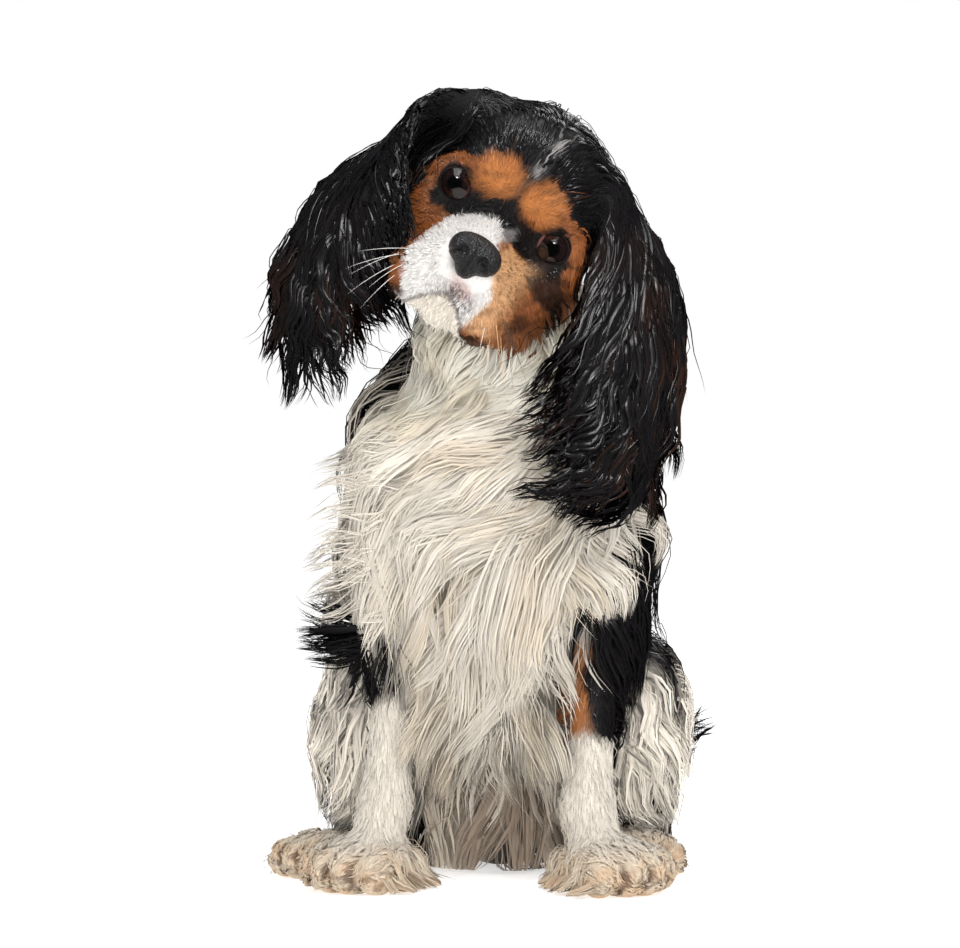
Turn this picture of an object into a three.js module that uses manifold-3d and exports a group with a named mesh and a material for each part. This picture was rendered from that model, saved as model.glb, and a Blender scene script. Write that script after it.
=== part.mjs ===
// A sitting Cavalier King Charles spaniel, life size, tricolour, with its head tilted to one side.
// Millimetres, +Z up. The dog faces -Y, so +X is its left side. The floor is at z = 0.
import * as THREE from 'three';
import { mergeVertices } from 'three/addons/utils/BufferGeometryUtils.js';
import Module from 'manifold-3d';

const wasm = await Module();
wasm.setup();

// Driving sizes
const GAP = 0.3;
const EYE_HEIGHT = 356;
const EYE_FORWARD = 105;
const HEAD_SHIFT = 6;
const HEAD_ROLL = 34;
const HEAD_PITCH = 10;
const EYE_SPACING = 61;
const EYE_RADIUS = 10;
const NECK_CUT_HEIGHT = 268;
const CHEST_CUT_DEPTH = -40;
const BODY_SHIFT = 4;
const ROOT_DEPTH = 5;
const LOCK_STEPS = 4;
const HANG_SLOPE = -0.15;
const SKIN_TOLERANCE = 2.5;
const LEAST_THICKNESS = 1;
const FLOOR_CLEARANCE = 6;
const WORLD = 900;

// How finely each skin is cut into triangles
const TRUNK_CELL = 21;
const HEAD_CELL = 7.6;
const HEAD_GROWTH = 1;
const NOSE_CELL = 6;
const FORE_CELL = 12;
const HIND_CELL = 17;
const PAW_CELL = 8.5;
const TAIL_CELL = 12;

const at = (x, y, z) => new THREE.Vector3(x, y, z);
const turned = (degrees) => degrees.map(THREE.MathUtils.degToRad);

// The head leans on its own axes: first nodding about X, then rolling about Y.
const headPlace = new THREE.Matrix4().compose(
  at(HEAD_SHIFT, -EYE_FORWARD, EYE_HEIGHT),
  new THREE.Quaternion().setFromEuler(new THREE.Euler(...turned([HEAD_PITCH, HEAD_ROLL, 0]), 'YXZ')),
  at(1, 1, 1),
);
const headPoint = (x, y, z) => at(x, y, z).applyMatrix4(headPlace);

// How far a point is outside an egg-shaped mass, about; negative is inside.
function egg(centre, radii, tilt = [0, 0, 0]) {
  const middle = at(...centre);
  const back = new THREE.Quaternion().setFromEuler(new THREE.Euler(...turned(tilt))).invert();
  const [a, b, c] = radii;
  const q = at(0, 0, 0);
  const mass = (p) => {
    q.copy(p).sub(middle).applyQuaternion(back);
    const near = Math.hypot(q.x / a, q.y / b, q.z / c);
    const slope = Math.hypot(q.x / (a * a), q.y / (b * b), q.z / (c * c));
    return slope < 1e-9 ? -Math.min(a, b, c) : (near * (near - 1)) / slope;
  };
  mass.box = new THREE.Box3(middle.clone(), middle.clone()).expandByScalar(Math.max(a, b, c));
  return mass;
}

// How far a point is outside a tapered limb with round ends.
function limb(start, end, startRadius, endRadius) {
  const a = at(...start);
  const run = at(...end).sub(a);
  const length2 = run.lengthSq();
  const q = at(0, 0, 0);
  const mass = (p) => {
    q.copy(p).sub(a);
    const t = THREE.MathUtils.clamp(q.dot(run) / length2, 0, 1);
    return q.addScaledVector(run, -t).length() - (startRadius + (endRadius - startRadius) * t);
  };
  mass.box = new THREE.Box3().setFromPoints([a, at(...end)]).expandByScalar(Math.max(startRadius, endRadius));
  return mass;
}

// Masses that flow into one another, over about the blend distance.
function flesh(blend, masses) {
  const field = (p) => {
    let sum = 0;
    for (const mass of masses) sum += Math.exp(-mass(p) / blend);
    return -blend * Math.log(sum);
  };
  field.box = masses.reduce((box, mass) => box.union(mass.box), new THREE.Box3()).expandByScalar(blend);
  return field;
}

const mirrored = (make) => [make(-1), make(1)];

// The way out of the flesh at a point, not yet of length 1
function slope(field, p) {
  const REACH = 0.5;
  const rise = ['x', 'y', 'z'].map((axis) => {
    const near = p.clone();
    const far = p.clone();
    near[axis] -= REACH;
    far[axis] += REACH;
    return (field(far) - field(near)) / (2 * REACH);
  });
  return at(...rise);
}

const outward = (field, p) => slope(field, p).normalize();

// Grid lines that are close together at the low end and grow apart towards the high end.
function gridLines(low, high, cell, growth) {
  const lines = [low - cell];
  while (lines.at(-1) < high + cell) {
    const share = Math.max(0, (lines.at(-1) - low) / (high - low));
    lines.push(lines.at(-1) + cell * (1 + growth * share));
  }
  return lines;
}

// The closed skin of a flesh, by surface nets: one vertex in each cell of a grid that the surface crosses,
// and two triangles for each grid edge that it crosses. The raised skin has the same triangles, further out.
function skin(field, cell, { raised = 0, growth = 0 } = {}) {
  const lines = ['x', 'y', 'z'].map((axis) => gridLines(
    field.box.min[axis], field.box.max[axis], cell, axis === 'y' ? growth : 0,
  ));
  const step = [1, lines[0].length, lines[0].length * lines[1].length];
  const node = (i) => i[0] * step[0] + i[1] * step[1] + i[2] * step[2];
  const spot = (i) => at(lines[0][i[0]], lines[1][i[1]], lines[2][i[2]]);
  const value = new Float32Array(step[2] * lines[2].length);
  const everyNode = (visit) => {
    for (let k = 0; k < lines[2].length; k += 1) {
      for (let j = 0; j < lines[1].length; j += 1) {
        for (let i = 0; i < lines[0].length; i += 1) visit([i, j, k]);
      }
    }
  };
  everyNode((i) => { value[node(i)] = field(spot(i)); });

  const places = [];
  const numbers = new Map();
  const shifted = (i, axis, by) => i.map((n, a) => (a === axis ? n + by : n));
  const crossing = (i, axis) => {
    const next = shifted(i, axis, 1);
    const from = value[node(i)];
    const to = value[node(next)];
    return (from < 0) === (to < 0) ? null : spot(i).lerp(spot(next), from / (from - to));
  };
  const vertex = (cellAt) => {
    const key = node(cellAt);
    if (!numbers.has(key)) {
      const found = [0, 1, 2].flatMap((axis) => [[0, 0], [1, 0], [0, 1], [1, 1]].map(([u, v]) => {
        const edge = shifted(shifted(cellAt, (axis + 1) % 3, u), (axis + 2) % 3, v);
        return crossing(edge, axis);
      })).filter(Boolean);
      const p = found.reduce((sum, one) => sum.add(one), at(0, 0, 0)).divideScalar(found.length);
      for (let turn = 0; turn < 3; turn += 1) {
        const rise = slope(field, p);
        p.addScaledVector(rise, (raised - field(p)) / Math.max(0.2, rise.lengthSq()));
      }
      numbers.set(key, places.length / 3);
      places.push(p.x, p.y, p.z);
    }
    return numbers.get(key);
  };

  const triangles = [];
  everyNode((i) => {
    for (let axis = 0; axis < 3; axis += 1) {
      if (i[axis] + 1 >= lines[axis].length || !crossing(i, axis)) continue;
      const u = (axis + 1) % 3;
      const v = (axis + 2) % 3;
      const [a, b, c, d] = [i, shifted(i, u, -1), shifted(shifted(i, u, -1), v, -1), shifted(i, v, -1)].map(vertex);
      const quad = value[node(i)] < 0 ? [a, b, c, a, c, d] : [a, c, b, a, d, c];
      triangles.push(...quad);
    }
  });
  return new wasm.Manifold(new wasm.Mesh({
    numProp: 3,
    vertProperties: new Float32Array(places),
    triVerts: new Uint32Array(triangles),
  }));
}

function solid(geometry, reach = 1e-4) {
  const bare = geometry.index ? geometry.toNonIndexed() : geometry.clone();
  bare.deleteAttribute('normal');
  bare.deleteAttribute('uv');
  const merged = mergeVertices(bare, reach);
  return new wasm.Manifold(new wasm.Mesh({
    numProp: 3,
    vertProperties: new Float32Array(merged.getAttribute('position').array),
    triVerts: new Uint32Array(merged.index.array),
  }));
}

const placed = (body, matrix) => body.transform(matrix.elements);

// Everything on the far side of a plane, as a block.
function beyond(point, normal) {
  const block = new THREE.BoxGeometry(WORLD, WORLD, WORLD);
  const facing = new THREE.Quaternion().setFromUnitVectors(at(0, 0, 1), normal.clone().normalize());
  const centre = point.clone().addScaledVector(normal.clone().normalize(), WORLD / 2 + GAP / 2);
  block.applyMatrix4(new THREE.Matrix4().compose(centre, facing, at(1, 1, 1)));
  return solid(block);
}

const underFloor = solid(new THREE.BoxGeometry(WORLD, WORLD, WORLD).translate(0, 0, -WORLD / 2));

function largest(body) {
  return body.decompose().sort((a, b) => b.volume() - a.volume())[0];
}

// The same draw of numbers every time, from 0 to 1
function seeded(seed) {
  let state = seed;
  return () => {
    state = (state + 0x6d2b79f5) | 0;
    let t = Math.imul(state ^ (state >>> 15), 1 | state);
    t = (t + Math.imul(t ^ (t >>> 7), 61 | t)) ^ t;
    return ((t ^ (t >>> 14)) >>> 0) / 4294967296;
  };
}

// What a list of directions gives at a share of its length
function alongList(list, share) {
  const t = Math.min(0.9999, Math.max(0, share)) * (list.length - 1);
  return list[Math.floor(t)].clone().lerp(list[Math.floor(t) + 1], t % 1);
}

// A flat blade along a spine: a ball drawn out into rings, as wide and thick as it is told at each share
// of its length, with its two edges bent towards its back by the cup.
function blade({ points, sides, width, thickness, around = 4, rings = 4, cup = 0, extra = 0 }) {
  const spine = new THREE.CatmullRomCurve3(points, false, 'centripetal');
  const ball = new THREE.SphereGeometry(1, around, rings);
  const place = ball.getAttribute('position');
  const uv = ball.getAttribute('uv');
  for (let i = 0; i < place.count; i += 1) {
    const share = 1 - uv.getY(i);
    const waist = Math.hypot(place.getX(i), place.getZ(i));
    const across = waist < 1e-6 ? 0 : place.getX(i) / waist;
    const through = waist < 1e-6 ? 0 : place.getZ(i) / waist;
    const full = waist < 1e-6 ? 0 : 1;
    const forward = spine.getTangent(share);
    const wanted = sides(share);
    const side = wanted.clone().addScaledVector(forward, -wanted.dot(forward)).normalize();
    const face = forward.clone().cross(side);
    const p = spine.getPoint(share);
    p.addScaledVector(side, across * full * (width(share) + extra));
    p.addScaledVector(face, through * full * (thickness(share) + extra) - cup * across * across);
    place.setXYZ(i, p.x, p.y, p.z);
  }
  return solid(ball);
}

// A lock grows out of the coat at its root, lies along the coat and hangs, and tapers to its tip.
const lockTaper = (share) => (0.6 + 0.4 * Math.min(1, share * 4)) * Math.sqrt(Math.max(0, 1 - share ** 2.4));

function lockPoints({ field, root, lie, length, lift, wave, phase }) {
  const points = [root.clone().addScaledVector(outward(field, root), -ROOT_DEPTH)];
  const p = root.clone();
  for (let i = 1; i <= LOCK_STEPS; i += 1) {
    const out = outward(field, p);
    const flow = lie(p).normalize();
    const leaving = flow.dot(out);
    const hugs = leaving < 0 || out.z > HANG_SLOPE;
    if (hugs) flow.addScaledVector(out, -leaving).normalize();
    flow.addScaledVector(flow.clone().cross(out), wave * Math.sin(phase + i * 1.9)).normalize();
    p.addScaledVector(flow, length / LOCK_STEPS);
    const height = lift * (0.3 + 0.7 * (i / LOCK_STEPS));
    const short = height - field(p);
    if (short > 0 || outward(field, p).z > HANG_SLOPE) p.addScaledVector(outward(field, p), short);
    p.z = Math.max(p.z, FLOOR_CLEARANCE);
    points.push(p.clone());
  }
  return points;
}

function lockShape(hair) {
  const points = lockPoints(hair);
  const sides = points.map((p, i) => {
    const run = points[Math.min(points.length - 1, i + 1)].clone().sub(points[Math.max(0, i - 1)]);
    return run.cross(outward(hair.field, p));
  });
  return {
    points,
    sides: (share) => alongList(sides, share),
    width: (share) => (hair.width / 2) * lockTaper(share),
    thickness: (share) => Math.max(LEAST_THICKNESS / 2, (hair.thickness / 2) * lockTaper(share)),
  };
}

// One lock that keeps clear of its neighbours: shorter or raised until it does, or left out.
function lock(hair, neighbours) {
  const TRIES = [[1, 1], [0.8, 1.6], [0.6, 1], [0.5, 2.2]];
  for (const [long, high] of TRIES) {
    const shape = lockShape({ ...hair, length: hair.length * long, lift: hair.lift * high });
    const wide = blade({ ...shape, extra: GAP + 0.1 });
    if (!neighbours.some((other) => touches(wide, other))) return blade(shape);
  }
  return null;
}

// Places drawn at random on the skin of a body, none nearer to another than the spread
function scattered(body, field, spread, chance) {
  const TRIES = 1500;
  const mesh = body.getMesh();
  const corner = (n) => at(...mesh.vertProperties.slice(mesh.triVerts[n] * mesh.numProp).slice(0, 3));
  const faces = [];
  let area = 0;
  for (let n = 0; n < mesh.triVerts.length; n += 3) {
    const face = new THREE.Triangle(corner(n), corner(n + 1), corner(n + 2));
    area += face.getArea();
    faces.push({ face, area });
  }
  const found = [];
  for (let turn = 0; turn < TRIES; turn += 1) {
    const wanted = chance() * area;
    const { face } = faces.find((one) => one.area >= wanted);
    const u = Math.sqrt(chance());
    const v = chance();
    const p = face.a.clone().multiplyScalar(1 - u);
    p.addScaledVector(face.b, u * (1 - v)).addScaledVector(face.c, u * v);
    const onCut = Math.abs(field(p)) > SKIN_TOLERANCE;
    if (!onCut && found.every((other) => other.distanceTo(p) > spread)) found.push(p);
  }
  return found;
}

// Whether two solids share any room
function touches(a, b) {
  const one = a.boundingBox();
  const two = b.boundingBox();
  for (let axis = 0; axis < 3; axis += 1) {
    if (one.min[axis] > two.max[axis] || two.min[axis] > one.max[axis]) return false;
  }
  return !a.intersect(b).isEmpty();
}

// The trunk and neck
const mid = BODY_SHIFT;
const trunkFlesh = flesh(9, [
  limb([6, -54, 322], [mid, -18, 256], 37, 54),
  egg([mid, -8, 205], [70, 64, 86], [30, 0, 0]),
  egg([mid, -62, 200], [46, 32, 44], [20, 0, 0]),
  egg([mid, -48, 150], [42, 32, 38]),
  egg([mid, 44, 132], [62, 62, 68], [38, 0, 0]),
  egg([mid, 88, 58], [66, 58, 60]),
  egg([mid, 26, 52], [46, 38, 54]),
  ...mirrored((s) => egg([mid + s * 54, -34, 196], [26, 32, 56], [12, 0, 0])),
]);

// The head, in its own frame: the origin is midway between the eyes
const headFlesh = flesh(4, [
  egg([0, 42, 13], [46, 46, 46]),
  egg([0, 14, 26], [37, 24, 29]),
  ...mirrored((s) => egg([s * 18, -2, 15], [14, 9, 9])),
  ...mirrored((s) => egg([s * 31, 6, 0], [15, 11.5, 14])),
  ...mirrored((s) => egg([s * 37, 18, -16], [16, 25, 21])),
  ...mirrored((s) => egg([s * 30, 20, -39], [19, 26, 20])),
  ...mirrored((s) => egg([s * 38, 30, 33], [15, 18, 14])),
  limb([0, 0, -17], [0, -41, -21], 12.5, 12),
  ...mirrored((s) => limb([s * 15, -8, -29], [s * 12, -39, -30], 14.5, 11.5)),
  ...mirrored((s) => egg([s * 19.5, -28, -46], [15.5, 19, 18])),
  limb([0, 20, -50], [0, -29, -57], 15, 9),
]);

// The nose leather
const noseFlesh = flesh(2, [
  egg([0, -47, -18.5], [14, 9.5, 10]),
  egg([0, -47, -29], [6.5, 7, 6]),
  ...mirrored((s) => egg([s * 8.5, -49, -19.5], [6.5, 7, 7.5])),
]);

// The fore leg of one side, down to its wrist
const foreFlesh = ({ s, wrist: [x, y] }) => flesh(6, [
  limb([mid + s * 54, -40, 186], [mid + s * 52, -44, 142], 26, 20),
  limb([mid + s * 52, -48, 142], [x, y, 44], 16, 12),
  limb([x, y, 44], [x + s * 5, y - 8, 22], 12, 13.5),
]);

// A paw: four toes in a fan, a pad and a heel
function pawFlesh({ paw: [x, y], heading, size }) {
  const out = THREE.MathUtils.degToRad(heading);
  const spot = (ahead, aside) => [
    x + (ahead * Math.sin(out) + aside * Math.cos(out)) * size,
    y + (aside * Math.sin(out) - ahead * Math.cos(out)) * size,
  ];
  const toes = [-1.5, -0.5, 0.5, 1.5].map((n) => egg(
    [...spot(17 - 3.2 * n * n, n * 12), 11 * size],
    [9 * size, 15 * size, 12.5 * size],
    [0, 0, heading + n * 9],
  ));
  return flesh(2.4, [
    ...toes,
    egg([...spot(0, 0), 14 * size], [23 * size, 21 * size, 15 * size], [0, 0, heading]),
    egg([...spot(-20, 0), 11 * size], [15 * size, 18 * size, 12.5 * size], [0, 0, heading]),
  ]);
}

// The hind leg of one side, folded as the dog sits
const hindFlesh = ({ s }) => flesh(8, [
  egg([mid + s * 62, 46, 88], [27, 62, 54], [-12, 0, 0]),
  egg([mid + s * 72, -4, 108], [20, 24, 28]),
  limb([mid + s * 76, 4, 92], [mid + s * 74, 78, 30], 20, 13),
  limb([mid + s * 74, 80, 10], [mid + s * 76, 26, 9], 14, 13),
]);

// The tail, laid on the floor and curled round to the dog's left
const tailFlesh = flesh(5, [
  limb([0, 126, 40], [26, 162, 24], 18, 16),
  limb([26, 162, 24], [72, 166, 34], 16, 13),
  limb([72, 166, 34], [106, 140, 64], 13, 8),
]);

// The ear leathers: each hangs from high on the skull, and the raised side swings out
const earShapes = {
  right: {
    points: [headPoint(-36, 32, 38), at(-34, -82, 406), at(-65, -88, 379), at(-87, -91, 342), at(-95, -94, 302)],
    sides: [at(0.5, -0.5, 0.7), at(0.75, -0.45, 0.45), at(0.92, -0.4, 0)],
    cup: 7,
  },
  left: {
    points: [headPoint(38, 30, 36), at(73, -84, 340), at(73, -94, 302), at(69, -101, 264), at(66, -106, 228)],
    sides: [at(-0.6, -0.6, 0.5), at(-0.85, -0.5, 0), at(-0.9, -0.42, 0)],
    cup: -7,
  },
};
const earWidth = (share) => 31 * Math.sin(Math.PI * Math.min(1, 0.13 + 0.84 * share)) ** 0.55;
const earThickness = (share) => 5.5 - 1.5 * share;

// How far a point is outside the leather of an ear, about: what its hair lies along
function earField({ points, sides }) {
  const STEPS = 16;
  const spine = new THREE.CatmullRomCurve3(points, false, 'centripetal');
  const slices = Array.from({ length: STEPS + 1 }, (_, n) => {
    const share = n / STEPS;
    const forward = spine.getTangent(share);
    const side = alongList(sides, share);
    side.addScaledVector(forward, -side.dot(forward)).normalize();
    return { middle: spine.getPoint(share), side, width: earWidth(share), thickness: earThickness(share) };
  });
  return (p) => {
    const nearest = slices.reduce((best, one) => (
      one.middle.distanceToSquared(p) < best.middle.distanceToSquared(p) ? one : best
    ));
    const away = p.clone().sub(nearest.middle);
    const aside = THREE.MathUtils.clamp(away.dot(nearest.side), -nearest.width, nearest.width);
    return away.addScaledVector(nearest.side, -aside).length() - nearest.thickness;
  };
}

const trunk = skin(trunkFlesh, TRUNK_CELL).subtract(underFloor);
const trunkClear = skin(trunkFlesh, TRUNK_CELL, { raised: GAP });
const headSkin = (raised) => placed(skin(headFlesh, HEAD_CELL, { raised, growth: HEAD_GROWTH }), headPlace);
const headClear = headSkin(GAP);

const neckUp = at(0, -0.42, 0.9);
const neckPoint = at(0, -20, NECK_CUT_HEIGHT);
const chestPoint = at(0, CHEST_CUT_DEPTH, 150);
const ahead = at(0, -1, 0);
const below = neckUp.clone().negate();
const behind = ahead.clone().negate();

const object = new THREE.Group();

const finishes = {
  black: new THREE.MeshStandardMaterial({ color: 0x17161a, roughness: 0.5, metalness: 0 }),
  white: new THREE.MeshStandardMaterial({ color: 0xe6ddcf, roughness: 0.75, metalness: 0 }),
  leather: new THREE.MeshStandardMaterial({ color: 0x1b1a1c, roughness: 0.35, metalness: 0 }),
  eye: new THREE.MeshStandardMaterial({ color: 0x1a0f0c, roughness: 0.05, metalness: 0 }),
};

function geometryOf(body) {
  const mesh = body.getMesh();
  const geometry = new THREE.BufferGeometry();
  geometry.setAttribute('position', new THREE.BufferAttribute(new Float32Array(mesh.vertProperties), 3));
  geometry.setIndex(new THREE.BufferAttribute(new Uint32Array(mesh.triVerts), 1));
  return geometry;
}

// Where two sheets of a surface touch, their corners are drawn apart, each into its own sheet.
function drawApart(geometry) {
  const APART = 0.05;
  geometry.computeVertexNormals();
  const place = geometry.getAttribute('position');
  const normal = geometry.getAttribute('normal');
  const groups = new Map();
  for (let n = 0; n < place.count; n += 1) {
    const key = [place.getX(n), place.getY(n), place.getZ(n)].map((x) => x.toFixed(2)).join();
    groups.set(key, [...(groups.get(key) ?? []), n]);
  }
  for (const n of [...groups.values()].filter((group) => group.length > 1).flat()) {
    const p = at(0, 0, 0).fromBufferAttribute(place, n);
    p.addScaledVector(at(0, 0, 0).fromBufferAttribute(normal, n), -APART);
    place.setXYZ(n, p.x, p.y, p.z);
  }
}

// Corners nearer than the weld are made one, and then only the largest closed surface is kept.
function add(name, body, finish) {
  const WELD = 2e-3;
  const geometry = geometryOf(largest(solid(geometryOf(body), WELD)));
  drawApart(geometry);
  geometry.computeVertexNormals();
  const shown = new THREE.Mesh(geometry, finishes[finish]);
  shown.name = name;
  object.add(shown);
}

// The solid cores, before any locks grow on them
const cores = {};
const lower = trunk.intersect(beyond(neckPoint, below));
cores.neck = trunk.intersect(beyond(neckPoint, neckUp)).subtract(headClear);
cores.chest = lower.intersect(beyond(chestPoint, ahead));
cores.torso = lower.intersect(beyond(chestPoint, behind));

// A point moved along the slope until it lies on the skin of the flesh
function onSkin(field, p) {
  for (let turn = 0; turn < 5; turn += 1) p.addScaledVector(outward(field, p), -field(p));
  return p;
}

function rod(points, radius) {
  return blade({
    points,
    sides: () => at(0, 0, 1),
    width: () => radius,
    thickness: () => radius,
    around: 5,
    rings: 10,
  });
}

// The lids round one eye, as a ring that the eyeball fills
function lidRing(s) {
  const ring = new THREE.TorusGeometry(9.4, 2.2, 5, 14);
  ring.rotateX(-Math.PI / 2);
  ring.scale(1, 1, 0.88);
  ring.rotateZ(-s * 0.15);
  ring.translate((s * EYE_SPACING) / 2, -5, 0);
  return solid(ring);
}

function makeHead() {
  let skull = headSkin(0);
  for (const s of [-1, 1]) skull = skull.add(placed(lidRing(s), headPlace));
  skull = skull.subtract(placed(skin(noseFlesh, NOSE_CELL, { raised: GAP }), headPlace));
  for (const s of [-1, 1]) {
    const ball = (radius, detail) => placed(
      solid(new THREE.IcosahedronGeometry(radius, detail).translate((s * EYE_SPACING) / 2, 0, 0)),
      headPlace,
    );
    skull = skull.subtract(ball(EYE_RADIUS + GAP, 2));
    cores[s < 0 ? 'eye_right' : 'eye_left'] = ball(EYE_RADIUS, 2);
    const lip = [[0, -50, -40], [0, -48, -54], [10, -45, -60], [22, -35, -64], [33, -18, -58], [37, 0, -46]];
    const groove = lip.map(([x, y, z]) => onSkin(headFlesh, at(s * x, y, z)));
    skull = skull.subtract(placed(rod(groove, 1.1), headPlace));
  }
  let nose = skin(noseFlesh, NOSE_CELL);
  for (const s of [-1, 1]) {
    const nostril = new THREE.SphereGeometry(1, 8, 6).scale(2.6, 5, 3).translate(s * 6.6, -56, -20);
    const slit = new THREE.SphereGeometry(1, 6, 4).scale(3.6, 4, 1.3).translate(s * 10, -54, -22.5);
    nose = nose.subtract(solid(nostril)).subtract(solid(slit));
  }
  cores.head = skull;
  cores.nose = placed(nose, headPlace);
}
makeHead();

const foreLegs = [
  { side: 'right', s: -1, wrist: [-58, -58], paw: [-68, -70], heading: -42 },
  { side: 'left', s: 1, wrist: [50, -68], paw: [62, -82], heading: 40 },
];
const hindLegs = [
  { side: 'right', s: -1, paw: [-94, -2], heading: -30 },
  { side: 'left', s: 1, paw: [80, 6], heading: 8 },
];
const feet = [
  ...foreLegs.map((leg) => ({ ...leg, end: 'front', size: 1.05, legField: foreFlesh(leg), cell: FORE_CELL })),
  ...hindLegs.map((leg) => ({ ...leg, end: 'hind', size: 0.9, legField: hindFlesh(leg), cell: HIND_CELL })),
];
for (const foot of feet) {
  const pawField = pawFlesh(foot);
  const leg = skin(foot.legField, foot.cell);
  const sole = skin(pawField, PAW_CELL);
  const soleClear = skin(pawField, PAW_CELL, { raised: GAP });
  cores[`${foot.end}_leg_${foot.side}`] = leg.subtract(trunkClear).subtract(soleClear).subtract(underFloor);
  cores[`${foot.end}_paw_${foot.side}`] = sole.subtract(underFloor);
}
cores.tail = skin(tailFlesh, TAIL_CELL).subtract(trunkClear).subtract(underFloor);

for (const [side, { points, sides, cup }] of Object.entries(earShapes)) {
  cores[`ear_${side}`] = blade({
    points,
    sides: (share) => alongList(sides, share),
    width: earWidth,
    thickness: earThickness,
    around: 12,
    rings: 10,
    cup,
  }).subtract(headClear).subtract(trunkClear);
}

// The long coat: where the locks of each node grow, which way they lie and how big they are
const from = (pair, chance) => pair[0] + (pair[1] - pair[0]) * chance();
const bodySide = (p) => Math.sign(p.x - mid);

const coats = {
  torso: {
    field: trunkFlesh,
    lie: (p) => at(bodySide(p) * 0.15, 0.5, -0.85),
    grows: (p) => p.z > 20,
    size: { spread: 37, length: [54, 72], width: [24, 32], thickness: [4, 5.5], lift: [7, 13], wave: 0.18 },
  },
  chest: {
    field: trunkFlesh,
    lie: (p) => at((p.x - mid) * 0.003, -0.1, -1),
    grows: () => true,
    size: { spread: 27, length: [60, 78], width: [18, 23], thickness: [4, 5.5], lift: [9, 15], wave: 0.3 },
  },
  neck: {
    field: trunkFlesh,
    lie: (p) => at((p.x - mid) * 0.006, 0.2, -1),
    grows: () => true,
    size: { spread: 29, length: [46, 60], width: [19, 25], thickness: [4, 5], lift: [8, 14], wave: 0.2 },
  },
  tail: {
    field: tailFlesh,
    lie: (p) => at(0.9, p.x < 60 ? 0.2 : -0.5, 0.25),
    grows: () => true,
    size: { spread: 23, length: [40, 52], width: [16, 21], thickness: [3.5, 4.5], lift: [7, 12], wave: 0.15 },
  },
};
for (const leg of foreLegs) {
  coats[`front_leg_${leg.side}`] = {
    field: foreFlesh(leg),
    lie: () => at(0, 0.55, -0.85),
    grows: (p, out) => p.z > 52 && (out.y > 0.1 || p.z > 130),
    size: { spread: 27, length: [40, 54], width: [14, 18], thickness: [3.5, 4.5], lift: [6, 10], wave: 0.2 },
  };
}
for (const leg of hindLegs) {
  coats[`hind_leg_${leg.side}`] = {
    field: hindFlesh(leg),
    lie: () => at(leg.s * 0.2, 0.1, -1),
    grows: (p) => p.z > 30,
    size: { spread: 33, length: [40, 56], width: [18, 25], thickness: [3.5, 4.5], lift: [6, 10], wave: 0.2 },
  };
}
for (const [side, shape] of Object.entries(earShapes)) {
  const middle = shape.points[2];
  const down = shape.points.at(-1).clone().sub(shape.points[1]).normalize();
  coats[`ear_${side}`] = {
    field: earField(shape),
    lie: (p) => p.clone().sub(middle).multiplyScalar(0.007).addScaledVector(down, 1),
    grows: (p) => p.z < shape.points[1].z,
    size: { spread: 18.5, length: [54, 76], width: [13, 18], thickness: [3, 4], lift: [3, 8], wave: 0.4 },
  };
}

Object.entries(coats).forEach(([name, { field, lie, grows, size }], n) => {
  const chance = seeded(n + 1);
  const neighbours = Object.entries(cores).filter(([other]) => other !== name).map(([, body]) => body);
  const roots = scattered(cores[name], field, size.spread, chance).filter((p) => grows(p, outward(field, p)));
  const locks = roots.map((root) => lock({
    field,
    root,
    lie,
    length: from(size.length, chance),
    width: from(size.width, chance),
    thickness: from(size.thickness, chance),
    lift: from(size.lift, chance),
    wave: size.wave,
    phase: chance() * 6.3,
  }, neighbours)).filter(Boolean);
  cores[name] = locks.reduce((body, one) => body.add(one), cores[name]).subtract(underFloor);
});

const dark = ['head', 'neck', 'torso', 'ear_right', 'ear_left', 'tail', 'hind_leg_right', 'hind_leg_left'];
for (const [name, body] of Object.entries(cores)) {
  const finish = name.startsWith('eye') ? 'eye' : name === 'nose' ? 'leather' : dark.includes(name) ? 'black' : 'white';
  add(name, body, finish);
}

// The origin is under the middle of the whole dog, on the floor.
const middle = new THREE.Box3().setFromObject(object).getCenter(at(0, 0, 0));
object.position.set(-middle.x, -middle.y, 0);

export default object;
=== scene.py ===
import math

import bmesh
import bpy
import numpy as np
from mathutils import Matrix, Vector


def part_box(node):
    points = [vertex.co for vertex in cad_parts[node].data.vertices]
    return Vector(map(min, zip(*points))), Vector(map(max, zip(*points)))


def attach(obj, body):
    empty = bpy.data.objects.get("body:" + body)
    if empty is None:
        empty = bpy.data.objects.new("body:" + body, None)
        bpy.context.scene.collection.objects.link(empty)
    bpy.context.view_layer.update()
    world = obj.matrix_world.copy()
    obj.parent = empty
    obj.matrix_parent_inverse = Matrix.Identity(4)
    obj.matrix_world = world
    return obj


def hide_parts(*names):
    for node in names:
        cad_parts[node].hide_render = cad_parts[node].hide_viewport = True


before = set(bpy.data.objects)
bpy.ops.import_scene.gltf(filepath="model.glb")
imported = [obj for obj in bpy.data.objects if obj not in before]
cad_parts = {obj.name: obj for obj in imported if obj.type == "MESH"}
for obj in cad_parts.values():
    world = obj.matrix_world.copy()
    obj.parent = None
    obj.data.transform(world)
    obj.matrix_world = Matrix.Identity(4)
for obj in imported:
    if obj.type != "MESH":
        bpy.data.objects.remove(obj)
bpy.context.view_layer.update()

# Driving sizes, in millimetres and degrees
EYE_HEIGHT = 356
EYE_FORWARD = 105
HEAD_SHIFT = 6
HEAD_ROLL = 34
HEAD_PITCH = 10
EYE_APART = 61
EYE_RADIUS = 10
MID = 4
SKIN_VOXEL = 3.2
HANG_SLOPE = -0.15
FLOOR_CLEARANCE = 2.0
CAMERA_AWAY = 2000
CAMERA_HEIGHT = 221
CAMERA_ASIDE = -7.15
LENS = 136.4
ROOM_LOW = 0.24
ROOM_HIGH = 0.55
MOST_TRIANGLES = 180000

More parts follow.
